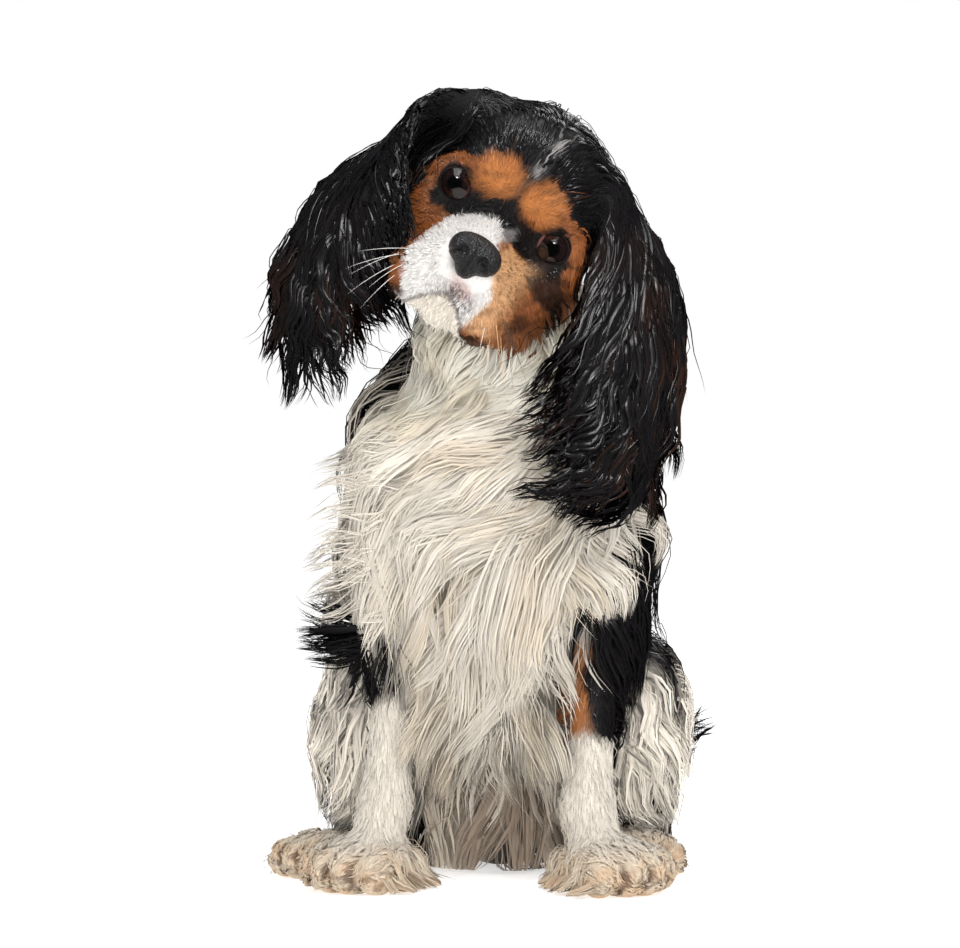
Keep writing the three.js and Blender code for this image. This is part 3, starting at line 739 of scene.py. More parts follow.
def lid_finish():
    finish = Finish("lid_rim", Roughness=0.5, Specular_IOR_Level=0.25)
    wrinkle = finish.noise(1400.0, 3.0)
    finish.feed("Base Color", finish.mix(wrinkle, (0.006, 0.005, 0.005, 1), (0.016, 0.011, 0.010, 1)))
    finish.bump(wrinkle, 0.0004)
    return finish.material


def claw_finish():
    finish = Finish("claw_horn", Roughness=0.35)
    band = finish.noise(600.0)
    finish.feed("Base Color", finish.mix(band, (0.03, 0.022, 0.018, 1), (0.12, 0.085, 0.06, 1)))
    return finish.material


# Making pieces
def piece(name, mesh, material, smooth_faces=True):
    """A finished piece on the dog's one body."""
    made = bpy.data.objects.new(name, mesh)
    bpy.context.scene.collection.objects.link(made)
    mesh.materials.clear()
    mesh.materials.append(material)
    if smooth_faces:
        mesh.shade_smooth()
    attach(made, "root")
    return made


def coordinates(mesh):
    found = np.empty(len(mesh.vertices) * 3)
    mesh.vertices.foreach_get("co", found)
    return found.reshape(-1, 3)


def set_coordinates(mesh, p):
    mesh.vertices.foreach_set("co", np.ascontiguousarray(p, float).ravel())
    mesh.update()


def set_colours(mesh, colours):
    layer = mesh.color_attributes.new(name="coat", type="FLOAT_COLOR", domain="POINT")
    rgba = np.ones((len(colours), 4))
    rgba[:, :3] = colours
    layer.data.foreach_set("color", rgba.ravel())


def remeshed(name, balls, voxel):
    """Balls melted into one closed skin with even faces."""
    bm = bmesh.new()
    for middle, size, axes in balls:
        place = np.eye(4)
        place[:3, :3] = axes * size / 1000
        place[:3, 3] = to_frame(middle)
        bmesh.ops.create_icosphere(bm, subdivisions=3, radius=1, matrix=Matrix(place))
    rough = bpy.data.meshes.new(name)
    bm.to_mesh(rough)
    bm.free()
    holder = bpy.data.objects.new(name, rough)
    bpy.context.scene.collection.objects.link(holder)
    melt = holder.modifiers.new("melt", "REMESH")
    melt.mode = "VOXEL"
    melt.voxel_size = voxel / 1000
    made = bpy.data.meshes.new_from_object(holder.evaluated_get(bpy.context.evaluated_depsgraph_get()))
    bpy.data.objects.remove(holder)
    return made


def settle(mesh, mass, rounds):
    """Draws a mesh onto the surface of a mass, smoothing it between."""
    for _ in range(rounds):
        bm = bmesh.new()
        bm.from_mesh(mesh)
        bmesh.ops.smooth_vert(bm, verts=bm.verts, factor=0.5,
                              use_axis_x=True, use_axis_y=True, use_axis_z=True)
        bm.to_mesh(mesh)
        bm.free()
        p = coordinates(mesh) * 1000 - SHIFT
        for _ in range(2):
            far, out = in_lots(mass, p)
            p = p - out * np.clip(far, -6, 6)[:, None]
        set_coordinates(mesh, to_frame(p))


def make_skin():
    mesh = remeshed("skin", whole.balls, SKIN_VOXEL)
    settle(mesh, whole, 3)
    p = coordinates(mesh) * 1000 - SHIFT
    p[:, 2] = np.maximum(p[:, 2], 0.0)
    set_coordinates(mesh, to_frame(p))
    part = nearest_part(p)
    set_colours(mesh, markings(p, part))
    made = piece("skin", mesh, skin_finish())
    nodes = [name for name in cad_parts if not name.startswith(("eye", "nose"))]
    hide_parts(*nodes)
    return made, part


skin, skin_part = make_skin()


def unwrap(thing):
    """An unwrap of the skin's own shape, for the coat to find its colours on."""
    layer = thing.data.uv_layers.new(name="OFBake")
    thing.data.uv_layers.active = layer
    bpy.context.view_layer.objects.active = thing
    thing.select_set(True)
    bpy.ops.object.mode_set(mode="EDIT")
    bpy.ops.mesh.select_all(action="SELECT")
    bpy.ops.uv.smart_project(angle_limit=math.radians(66), island_margin=0.001)
    bpy.ops.object.mode_set(mode="OBJECT")
    thing.select_set(False)


unwrap(skin)


class Ground:
    """The faces of the skin that hair can grow from."""
    def __init__(self, thing):
        mesh = thing.data
        mesh.calc_loop_triangles()
        count = len(mesh.loop_triangles)
        corners = np.empty(count * 3, int)
        loops = np.empty(count * 3, int)
        mesh.loop_triangles.foreach_get("vertices", corners)
        mesh.loop_triangles.foreach_get("loops", loops)
        flat = np.empty(len(mesh.loops) * 2)
        mesh.uv_layers["OFBake"].data.foreach_get("uv", flat)
        self.corners = (coordinates(mesh) * 1000 - SHIFT)[corners.reshape(-1, 3)]
        self.patches = flat.reshape(-1, 2)[loops.reshape(-1, 3)]
        a, b, c = (self.corners[:, k] for k in range(3))
        self.area = np.linalg.norm(np.cross(b - a, c - a), axis=1) / 2
        self.middle = self.corners.mean(axis=1)
        self.part = skin_part[corners.reshape(-1, 3)[:, 0]]

    def scatter(self, weight, count, draw):
        """Roots drawn at random, by area and weight, with their places on the unwrap."""
        share = np.cumsum(self.area * weight)
        face = np.searchsorted(share, draw.random(count) * share[-1])
        u = np.sqrt(draw.random(count))
        v = draw.random(count)
        mix = np.column_stack([1 - u, u * (1 - v), u * v])[:, :, None]
        return (self.corners[face] * mix).sum(1), (self.patches[face] * mix).sum(1), self.part[face]


ground = Ground(skin)


# Hair
def dot(a, b):
    return (a * b).sum(axis=1)


def walk(root, kind, length, lift, phase, lean, wave):
    """The path of each hair from its root, along the lie of its coat and clear of the flesh."""
    steps = kind["steps"]
    over = kind["over"]
    p = root.copy()
    far, out = in_lots(over, p)
    path = [p - out * ROOT_DEPTH]
    outs = [out]
    for n in range(1, steps + 1):
        share = n / steps
        flow = unit(kind["lie"](p))
        leaving = dot(flow, out)
        hugs = (leaving < 0) | (out[:, 2] > kind.get("hang", HANG_SLOPE))
        flow = unit(flow - out * (leaving * hugs)[:, None])
        side = unit(np.cross(flow, out))
        turn = phase + share * kind["turns"] * 2 * np.pi
        grown = wave * (0.35 + 0.65 * min(1, share * 1.6))
        sway = grown * np.sin(turn) + lean
        bounce = 0.6 * grown * np.cos(turn)
        flow = unit(flow + side * sway[:, None] + out * bounce[:, None])
        ahead = flow * (length / steps)[:, None]
        stop = np.clip((p[:, 2] - FLOOR_CLEARANCE) / np.maximum(-ahead[:, 2], 1e-6), SHORTEST_STEP, 1)
        p = p + ahead * np.where(ahead[:, 2] < 0, stop, 1)[:, None]
        far, out = in_lots(over, p)
        height = lift * np.sin(np.pi * min(1, 0.15 + 0.75 * share))
        short = height - far
        push = np.where((short > 0) | (out[:, 2] > kind.get("hang", HANG_SLOPE)), np.maximum(short, -4), 0)
        p = p + out * push[:, None]
        p[:, 2] = np.maximum(p[:, 2], FLOOR_CLEARANCE)
        path.append(p.copy())
        outs.append(out)
    return np.stack(path, 1), np.stack(outs, 1)


def nearest_guide(root, guide_root, size=4000):
    found = []
    for n in range(0, len(root), size):
        gap = ((root[n:n + size, None, :] - guide_root[None]) ** 2).sum(-1)
        found.append(gap.argmin(1))
    return np.concatenate(found)


def strand_mesh(name, path, outs, width, thick, roll, colour, patch, soft=0):
    """Closed, tapering strands of three sides each in one mesh, lit more as their ground is when soft."""
    count, rings = path.shape[0], path.shape[1] - 1
    run = unit(np.gradient(path, axis=1))
    across = np.cross(run, outs)
    steady_side = unit(np.cross(run[:, :1], outs[:, :1]) + np.array([1e-4, 0, 0]))
    clear = smooth(0.15, 0.4, np.linalg.norm(across, axis=2))[:, :, None]
    steady_side = steady_side - run * (steady_side * run).sum(2)[:, :, None]
    side = unit(unit(across) * clear + steady_side * (1 - clear))
    up = np.cross(side, run)
    cos, sin = np.cos(roll)[:, None, None], np.sin(roll)[:, None, None]
    side, up = side * cos + up * sin, up * cos - side * sin
    share = np.arange(rings) / rings
    taper = np.minimum(1, 0.5 + share * 2.2) * (1 - share**2.0) ** 0.85
    half = (width[:, None] * taper[None]) / 2
    deep = (thick[:, None] * np.sqrt(taper)[None]) / 2
    angle = np.radians([90, 210, 330])
    ring = (path[:, :-1, None, :]
            + side[:, :-1, None, :] * (half[:, :, None, None] * np.cos(angle)[None, None, :, None])
            + up[:, :-1, None, :] * (deep[:, :, None, None] * np.sin(angle)[None, None, :, None]))
    verts = np.concatenate([ring.reshape(count, rings * 3, 3), path[:, -1:, :]], axis=1)
    faces = [(0, 1, 2)]
    for n in range(rings - 1):
        for k in range(3):
            a, b = n * 3 + k, n * 3 + (k + 1) % 3
            faces += [(b, a, a + 3), (b, a + 3, b + 3)]
    top = (rings - 1) * 3
    faces += [(top + (k + 1) % 3, top + k, rings * 3) for k in range(3)]
    faces = np.array(faces)
    per = rings * 3 + 1
    corners = (faces[None] + (np.arange(count) * per)[:, None, None]).reshape(-1)
    mesh = bpy.data.meshes.new(name)
    mesh.vertices.add(count * per)
    mesh.vertices.foreach_set("co", to_frame(verts.reshape(-1, 3)).ravel())
    mesh.loops.add(len(corners))
    mesh.loops.foreach_set("vertex_index", corners)
    mesh.polygons.add(len(corners) // 3)
    mesh.polygons.foreach_set("loop_start", np.arange(0, len(corners), 3))
    mesh.update(calc_edges=True)
    mesh.shade_smooth()
    facing = np.empty((count, per, 3))
    ring_facing = facing[:, :-1].reshape(count, rings, 3, 3)
    lit = unit(up * (1 - soft) + outs * soft)
    for k, lean in enumerate((0, -0.4, 0.4)):
        ring_facing[:, :, k] = unit(lit[:, :-1] + lean * (1 - soft) * side[:, :-1])
    facing[:, :-1] = ring_facing.reshape(count, rings * 3, 3)
    facing[:, -1] = lit[:, -1]
    mesh.normals_split_custom_set_from_vertices(facing.reshape(-1, 3))
    tone = np.append(0.88 + 0.16 * share, 1.04)
    tones = np.repeat(tone[:-1], 3)
    tones = np.append(tones, tone[-1])
    set_colours(mesh, np.clip(colour[:, None, :] * tones[None, :, None], 0, 1).reshape(-1, 3))
    layer = mesh.uv_layers.new(name="OFBake")
    spot = np.zeros((per, 2))
    spot[:-1, 0] = np.tile([-1, 0, 1], rings)
    spot[:-1, 1] = np.repeat(share * 2 - 1, 3)
    spot[-1, 1] = 1
    uv = patch[:, None, :] + spot[None] * PATCH_REACH
    layer.data.foreach_set("uv", uv.reshape(-1, 2)[corners].ravel())
    reach = np.linalg.norm(np.diff(path, axis=1), axis=2).sum(1)
    lines = mesh.uv_layers.new(name="strand")
    strand = np.zeros((count, per, 2))
    strand[:, :-1, 0] = np.tile([0.5, 0, 1], rings)[None] * width[:, None]
    strand[:, -1, 0] = width / 2
    strand[:, :, 0] += (np.arange(count) * 7.31)[:, None] % 4000
    strand[:, :, 1] = np.append(np.repeat(share, 3), 1)[None] * reach[:, None]
    lines.data.foreach_set("uv", strand.reshape(-1, 2)[corners].ravel())
    return mesh


def grow(name, kind):
    """One kind of coat: broad locks and fine hairs that gather together, in pieces that stay small enough."""
    draw = np.random.default_rng(kind["seed"])
    weight = kind["grows"](ground).astype(float)
    root, patch, part = ground.scatter(weight, kind["count"], draw)
    guide_root, _, _ = ground.scatter(weight, max(8, kind["count"] // kind["gather"]), draw)
    guides_made = len(guide_root)
    guide = {
        "length": kind["length"](guide_root) * draw.uniform(0.8, 1.2, guides_made),
        "lift": draw.uniform(*kind["lift"], guides_made) * kind["rise"](guide_root),
        "phase": draw.uniform(0, 2 * np.pi, guides_made),
        "lean": draw.normal(0, kind["stray"], guides_made),
        "wave": kind["wave"] * draw.uniform(0.5, 1.4, guides_made) * np.minimum(1, kind["rise"](guide_root)),
    }
    guides, _ = walk(guide_root, kind, *guide.values())
    mine = nearest_guide(root, guide_root)
    count = len(root)
    fine = draw.random(count) < kind["fine"]
    loose = draw.random(count) < LOOSE_SHARE
    length = kind["length"](root) * draw.uniform(0.75, 1.15, count) * np.where(loose, 1.15, 1)
    lift = guide["lift"][mine] * draw.uniform(0.7, 1.1, count) + loose * 2
    phase = guide["phase"][mine] + draw.normal(0, 0.25, count)
    lean = guide["lean"][mine] + draw.normal(0, 0.06, count) + loose * draw.normal(0, 0.3, count)
    path, outs = walk(root, kind, length, lift, phase, lean, guide["wave"][mine])
    share = np.linspace(0, 1, path.shape[1])
    pull = kind["clump"] * np.where(loose, 0.1, np.where(fine, 1.0, 0.75))[:, None] * share[None] ** 1.2
    path = path + (guides[mine] - path) * pull[:, :, None]
    flat_path = path.reshape(-1, 3)
    far, out = in_lots(kind["over"], flat_path)
    past_root = np.tile(share, count) > 0
    flat_path = flat_path + out * np.maximum(0, COAT_CLEARANCE - far)[:, None] * past_root[:, None]
    flat_path[:, 2] = np.maximum(flat_path[:, 2], FLOOR_CLEARANCE)
    path = flat_path.reshape(path.shape)
    thin = fine | loose
    width = np.where(thin, draw.uniform(*kind["hair"], count), draw.uniform(*kind["width"], count))
    width = width * (0.5 + 0.5 * np.minimum(1, length / length.mean()))
    thick = np.minimum(width * 0.8, kind["thick"])
    roll = draw.normal(0, kind["roll"], count)
    middle = path.shape[1] // 2
    seen_at = root + (path[:, middle] - root) * kind.get("paint", 0)
    colour = np.tile(kind["colour"], (count, 1)) if "colour" in kind else markings(seen_at, part)
    colour = colour * draw.uniform(*kind["shade"], count)[:, None]
    triangles = path.shape[1] * 6 - 8
    lot = MOST_TRIANGLES // triangles
    pale = kind["fur"] == "pale"
    soft = PALE_SOFTNESS if pale else DARK_SOFTNESS
    for n, start in enumerate(range(0, count, lot)):
        some = slice(start, start + lot)
        title = f"coat_{name}_{n + 1}"
        mesh = strand_mesh(title, path[some], outs[some], width[some], thick[some], roll[some],
                           colour[some], patch[some], soft)
        piece(title, mesh, FUR)


FUR = fur_finish()


def is_part(*names):
    wanted = [PART_NAMES.index(name) for name in names]
    return lambda g: np.isin(g.part, wanted)


def near(*names):
    """The flesh that a coat lies over."""
    return flesh(3, [PARTS[name] for name in names])


def nose_distance(p):
    return np.linalg.norm(in_head(p) - np.array([0, -50, -24]), axis=1)


def eye_distance(p):
    q = in_head(p)
    return np.hypot(np.abs(q[:, 0]) - EYE_APART / 2, q[:, 2])


def on_face(g):
    q = in_head(g.middle)
    clear = (nose_distance(g.middle) > 15) & ((eye_distance(g.middle) > 8.7) | (q[:, 1] > 12))
    return is_part("head")(g) * clear


def height(g):
    return g.middle[:, 2]


def between(g, low_end, high_end):
    return (height(g) > low_end) & (height(g) <= high_end)


def behind_fore_leg(g, side):
    """The back of a foreleg and its upper arm, which carry the feather."""
    return (g.middle[:, 1] >= FORE[side][1][1] + 4) | (height(g) >= ARM_FROM)


def on_temple(g):
    """Between the eye of the right side and its ear."""
    q = in_head(g.middle)
    high = (q[:, 2] > -4) & (q[:, 2] < 40) & (q[:, 1] < 44)
    return is_part("head")(g) * high * (q[:, 0] < np.where(q[:, 2] > 12, -34, -45))


def front_of(g):
    return g.middle[:, 1] < bib_edge(g.middle[:, 0] - MID, g.middle[:, 2]) - 2


def head_lie(p):
    """Away from the nose on the face, and from the stop sideways over the crown."""
    q = in_head(p)
    lie = unit(q - np.array([0, -66, -8]))
    crown = smooth(14, 34, q[:, 2]) * smooth(2, 20, q[:, 1])
    fan = unit((q - np.array([0, -12, 20])) * np.array([4.5, 1, 1]))
    lie = lie + (fan - lie) * crown[:, None]
    lie[:, 2] -= 0.45 * smooth(10, -20, q[:, 2]) * smooth(-30, 20, q[:, 1])
    lie[:, 2] -= 0.9 * crown * smooth(18, 44, np.abs(q[:, 0]))
    temple = smooth(36, 45, np.abs(q[:, 0])) * smooth(-18, -8, q[:, 2])
    lie = lie + (np.array([0.33, 0.05, -0.94]) - lie) * temple[:, None]
    return lie @ HEAD_TURN.T


def ear_lie(side, inward, low_inward, outward):
    """Down the ear, fanning out from its middle, its inner edge drawn over the cheek high up or low down."""
    middles, forward, across, _, width, shares = ear_slices(side)

    def lie(p):
        nearest = ((p[:, None, :] - middles[None]) ** 2).sum(-1).argmin(1)
        aside = dot(p - middles[nearest], across[nearest]) / width[nearest]
        share = shares[nearest]
        inner = inward * smooth(0.1, 0.6, aside) * (1 - smooth(0.45, 0.65, share))
        inner = inner + low_inward * smooth(-0.2, 0.5, aside) * smooth(0.35, 0.6, share)
        spread = np.where(aside > 0, 0.45, outward) * aside + inner
        flow = forward[nearest] + across[nearest] * spread[:, None]
        flow[:, 2] -= 0.35
        return flow

    return lie


def ear_length(side, top, tip):
    """Hair that is long high on an ear and shorter towards its tip."""
    middles, _, _, _, _, shares = ear_slices(side)

    def length(p):
        nearest = ((p[:, None, :] - middles[None]) ** 2).sum(-1).argmin(1)
        return top + (tip - top) * shares[nearest]

    return length


def steady(x, y, z, fan=0.0):
    def lie(p):
        flow = np.tile(np.array([x, y, z], float), (len(p), 1))
        flow[:, 0] += fan * (p[:, 0] - MID)
        return flow
    return lie


def back_lie(p):
    flow = np.tile(np.array([0.0, 0.5, -0.85]), (len(p), 1))
    flow[:, 0] += 0.15 * np.sign(p[:, 0] - MID)
    return flow


def tail_lie(p):
    up = 0.2 + 0.35 * smooth(70, 100, p[:, 0])
    return np.column_stack([np.full(len(p), 0.9), np.where(p[:, 0] < 60, 0.2, -0.35), up])


# How the chest is combed: a place across and up the front of the dog, and the way its hair goes from there
CHEST_COMB = [
    ((-35, 276), (-0.3, -0.95)), ((14, 271), (-0.5, -0.85)), ((28, 260), (-0.55, -0.83)),
    ((14, 247), (-0.85, -0.5)), ((-23, 243), (-1.0, -0.2)), ((-60, 245), (-0.95, -0.15)),
    ((25, 228), (-0.7, -0.7)), ((-2, 218), (-0.95, -0.35)), ((-39, 215), (-1.0, -0.2)),
    ((-76, 218), (-0.95, -0.2)), ((25, 199), (-0.75, -0.65)), ((-7, 189), (-0.85, -0.5)),
    ((-47, 197), (-0.2, -1.0)), ((-44, 165), (0.1, -1.0)), ((-76, 175), (-0.7, -0.7)),
    ((-86, 154), (-0.6, -0.8)), ((-23, 154), (-0.6, -0.8)), ((9, 160), (-0.5, -0.85)),
    ((35, 170), (0.1, -1.0)), ((62, 175), (0.6, -0.8)), ((83, 175), (0.9, -0.4)),
    ((51, 149), (0.15, -1.0)), ((4, 133), (0.1, -1.0)), ((-39, 128), (0.0, -1.0)),
    ((-23, 91), (-0.4, -0.9)), ((14, 91), (0.0, -1.0)), ((-2, 48), (0.0, -1.0)),
    ((-45, 60), (0.1, -1.0)), ((45, 60), (-0.1, -1.0)), ((-40, 20), (0.5, -0.85)), ((40, 20), (-0.3, -0.95)),
    ((0, 12), (0.2, -1.0)),
]
COMB_REACH = 13


def chest_lie(p):
    spots = np.array([spot for spot, _ in CHEST_COMB], float)
    ways = np.array([way for _, way in CHEST_COMB], float)
    gap = ((p[:, None, [0, 2]] - spots[None]) ** 2).sum(-1)
    weight = np.exp(-gap / (2 * COMB_REACH**2)) + 1e-7
    way = unit((weight @ ways) / weight.sum(1)[:, None])
    return np.column_stack([way[:, 0], np.full(len(p), -0.1), way[:, 1]])


def paw_lie(heading):
    turn = math.radians(heading)
    return steady(math.sin(turn), -math.cos(turn), -0.35)


def constant(value):
    return lambda p: np.full(len(p), float(value))


# A kind of coat says how many tufts it has and how many gather to a guide, where they grow, which way they
# lie and over what. It gives the least and the most of their lift, their width and that of their fine hairs.
# Hair hangs free where the body's surface leans over by less than hang; at 2 it hangs free everywhere.
SHORT = dict(
    paint=1, steps=2, wave=0.06, turns=0.5, clump=0.4, stray=0.1, fine=0.4, thick=0.5, roll=0.25,
    rise=constant(1), shade=(0.86, 1.06), hang=-2,
)
LONG = dict(
    steps=5, wave=0.2, turns=0.9, clump=0.75, stray=0.2, fine=0.5, thick=0.7, roll=0.3,
    rise=constant(1), shade=(0.92, 1.04),
)
BODY = near("trunk", "fore_right", "fore_left", "hind_right", "hind_left")
HEAD = near("head", "ear_right", "ear_left", "trunk")


def face_hair(p):
    """Hair that grows longer away from the nose, and stays short round the eyes."""
    by_eye = 1 - smooth(14, 24, eye_distance(p))
    return (3.2 + 0.085 * np.maximum(0, nose_distance(p) - 12)) * (1 - 0.35 * by_eye)


def chest_hair(p):
    x = p[:, 0] - MID
    aside = np.where(x > 0, 30, 16) * smooth(32, 66, np.abs(x))
    full = 76 - 54 * smooth(240, 295, p[:, 2]) - 24 * smooth(120, 70, p[:, 2]) - aside
    by_arm = smooth(20, 30, x) + smooth(44, 54, -x)
    above_arm = 12 + np.maximum(0, p[:, 2] - np.where(x > 0, 150, 143))
    return full + (np.minimum(full, above_arm) - full) * by_arm


def feather(s):
    """The long hair behind and above a foreleg, which ends where the dark patch of the arm shows."""
    def length(p):
        z = p[:, 2]
        if s < 0:
            return np.where(z > 143, 12 + (z - 143), 42)
        return np.where(z > 88, np.minimum(44, 14 + 0.8 * (z - 88)), 42)

    return length


def fuller_sides(right, left):
    """Body hair that stands out more along the sides of the chest, by so much on each side."""
    def rise(p):
        high = smooth(110, 140, p[:, 2]) * (1 - smooth(180, 210, p[:, 2]))
        more = np.where(p[:, 0] < MID, right, left)
        return 1 + more * high * smooth(46, 70, np.abs(p[:, 0] - MID))

    return rise


def fuller_right(p):
    return 1 + 0.8 * smooth(15, 45, MID - p[:, 0])


def low_at_top(low_end, high_end):
    """Ear hair that lies close to the head where the ear leaves it."""
    return lambda p: 1 - 0.92 * smooth(low_end, high_end, p[:, 2])


def low_by_ears(p):
    return 1 - 0.8 * smooth(22, 38, np.abs(in_head(p)[:, 0]))


# Every coat of the dog, each grown with random draws of its own
COATS = {
    "face": SHORT | dict(
        seed=1, count=16500, gather=6, lift=(0.2, 1.1), width=(0.9, 1.5), hair=(0.4, 0.7),
        grows=lambda g: on_face(g) * (nose_distance(g.middle) < FACE_TO) * (
            1 + 1.5 * (nose_distance(g.middle) < 50)),
        length=face_hair, lie=head_lie, over=HEAD, fur="dark", shade=(0.72, 1.08),
    ),
    "crown": LONG | dict(
        seed=2, count=4400, gather=16, lift=(0.5, 2.2), width=(1.8, 3.0), hair=(0.5, 0.9),
        grows=lambda g: on_face(g) * (nose_distance(g.middle) >= CROWN_FROM),
        length=lambda p: 14 + 0.26 * np.maximum(0, nose_distance(p) - CROWN_FROM),
        lie=head_lie, over=HEAD, fur="dark",
        steps=4, wave=0.02, turns=0.5, clump=0.6, stray=0.05, rise=low_by_ears,
    ),
    "temple": LONG | dict(
        seed=9, count=900, gather=16, lift=(1, 5), width=(1.8, 3.0), hair=(0.5, 0.9),
        grows=on_temple, length=constant(58), lie=head_lie, over=HEAD, fur="dark", colour=BLACK,
        steps=8, wave=0.4, turns=1.3, clump=0.7,
    ),
    "neck": LONG | dict(
        seed=3, count=1900, gather=24, lift=(3, 13), width=(1.8, 3.4), hair=(0.5, 1.0),
        grows=lambda g: is_part("trunk")(g) * (height(g) > NECK_FROM) * ~front_of(g),
        length=constant(54), lie=steady(0, 0.1, -1, 0.009), over=BODY, fur="dark", rise=fuller_right,
    ),
    "back": LONG | dict(
        seed=4, count=4200, gather=24, lift=(2, 9), width=(2.2, 4.0), hair=(0.6, 1.1),
        grows=lambda g: is_part("trunk")(g) * between(g, LOWEST_ROOT, NECK_FROM) * ~front_of(g),
        length=constant(56), lie=back_lie, over=BODY, fur="dark", steps=4, rise=fuller_sides(0.0, 0.4),
    ),
    "chest": LONG | dict(
        seed=5, count=9400, gather=44, lift=(3, 14), width=(1.3, 2.6), hair=(0.5, 0.9),
        grows=lambda g: is_part("trunk")(g) * front_of(g) * (height(g) > BELLY_TO),
        length=chest_hair, lie=chest_lie, over=BODY, fur="pale",
        steps=6, wave=0.38, turns=1.2, clump=0.78, stray=0.28, fine=0.4, rise=fuller_sides(0.8, 0.8),
    ),
    "wisps": LONG | dict(
        seed=26, count=420, gather=8, lift=(1, 6), width=(0.9, 1.5), hair=(0.4, 0.7),
        grows=lambda g: is_part("trunk", "fore_right")(g) * front_of(g) * (g.middle[:, 0] < -38) * (
            np.abs(height(g) - 198) < 50),
        length=constant(36), lie=steady(-1, -0.25, -0.35), over=BODY, fur="pale", colour=WHITE,
        wave=0.5, turns=1.0, stray=0.4, hang=2,
    ),
    "belly": LONG | dict(
        seed=6, count=2000, gather=22, lift=(3, 16), width=(0.9, 1.7), hair=(0.4, 0.8),
        grows=lambda g: is_part("trunk")(g) * between(g, LOWEST_ROOT, BELLY_TO) * front_of(g),
        length=constant(30), lie=chest_lie, over=BODY, fur="pale",
        wave=1.3, turns=1.6, stray=0.6, shade=(0.55, 1.35),
    ),
    "elbow": LONG | dict(
        seed=8, count=240, gather=10, lift=(1, 5), width=(1.0, 1.8), hair=(0.4, 0.8),
        grows=lambda g: is_part("fore_right", "trunk")(g) * (g.middle[:, 0] < -58) * (g.middle[:, 1] < 20) * (
            np.abs(height(g) - 134) < 10),
        length=constant(38), lie=steady(-1, -0.2, 0.05), over=BODY, fur="dark", colour=BLACK,
        wave=0.45, clump=0.85, stray=0.35, hang=2,
    ),
    "tail": LONG | dict(
        seed=7, count=1000, gather=14, lift=(2, 8), width=(1.6, 2.8), hair=(0.5, 0.9),
        grows=lambda g: is_part("tail")(g) * (height(g) > 4),
        length=constant(34), lie=tail_lie, over=near("tail", "trunk"), fur="dark", stray=0.5, hang=2,
    ),
}

# Each ear: how its inner edge is combed high up and low down and its outer edge sideways, how long its hair
# is at the top and at the tip, and the heights over which the hair comes to lie close to the head
EAR_COMB = {"right": (0.95, 0.42, 0.15), "left": (0.05, 0.5, 0.0)}
EAR_HAIR = {"right": (82, 46), "left": (82, 54)}
EAR_TOP = {"right": (335, 380), "left": (292, 345)}
for n, (side, s) in enumerate((("right", -1), ("left", 1))):
    COATS[f"ear_{side}"] = LONG | dict(
        seed=10 + n, count=1900, gather=30, lift=(1, 8), width=(2.2, 3.8), hair=(0.6, 1.1),
        grows=is_part(f"ear_{side}"), length=ear_length(side, *EAR_HAIR[side]),
        lie=ear_lie(side, *EAR_COMB[side]), over=near("head", "trunk", f"ear_{side}"), fur="dark",
        steps=12, wave=0.66, turns=2.0, clump=0.86, stray=0.14, roll=0.4, rise=low_at_top(*EAR_TOP[side]),
    )
    COATS[f"fore_{side}"] = SHORT | dict(
        seed=12 + n, count=2600, gather=8, lift=(0.2, 1.0), width=(1.2, 2.0), hair=(0.5, 0.8),
        grows=lambda g, side=side: is_part(f"fore_{side}")(g) * (
            (g.middle[:, 1] < FORE[side][1][1] + 4) | (height(g) < 50)) * (height(g) < ARM_FROM),
        length=constant(11), lie=steady(0, 0.05, -1), over=without_ears, fur="pale",
    )
    COATS[f"fore_feather_{side}"] = LONG | dict(
        seed=14 + n, count=1500, gather=22, lift=(2, 10), width=(1.4, 2.8), hair=(0.5, 0.9),
        grows=lambda g, side=side: is_part(f"fore_{side}")(g) * behind_fore_leg(g, side) * (height(g) > 46),
        length=feather(s), lie=steady(0, 0.5, -0.85), over=without_ears, fur="pale",
    )
    COATS[f"hind_{side}"] = LONG | dict(
        seed=16 + n, count=2100, gather=24, lift=(2, 12), width=(1.8, 3.2), hair=(0.5, 0.9),
        grows=lambda g, side=side: is_part(f"hind_{side}")(g) * (height(g) > 16),
        length=constant(46), lie=steady(s * 0.3, 0.1, -1), over=without_ears, fur="dark",
        steps=5, wave=0.6, turns=1.3,
    )
    COATS[f"paw_fringe_{side}"] = LONG | dict(
        seed=24 + n, count=420, gather=14, lift=(1, 4), width=(1.2, 2.0), hair=(0.4, 0.8),
        grows=lambda g, side=side, s=s: is_part(f"fore_paw_{side}")(g) * (
            (g.middle[:, 0] - FORE[side][2][0]) * s < -8) * (height(g) > 3) * (height(g) < 24),
        length=constant(22), lie=steady(-s * 0.9, -0.35, -0.6), over=without_ears, fur="pale",
        steps=4, wave=0.25,
    )
    for end, table in (("fore", FORE), ("hind", HIND)):
        hind = end == "hind"
        COATS[f"{end}_paw_{side}"] = SHORT | dict(
            seed=18 + n + 2 * hind, count=1700 if hind else 2800, gather=18,
            lift=(0.3, 2.4), width=(1.2, 2.0), hair=(0.4, 0.7),
            grows=lambda g, name=f"{end}_paw_{side}": is_part(name)(g) * (height(g) > 1.5),
            length=constant(9), lie=paw_lie(table[side][-1]), over=without_ears, fur="pale",
            clump=0.7, stray=0.3,
        )

for name, kind in COATS.items():
    grow(name, kind)


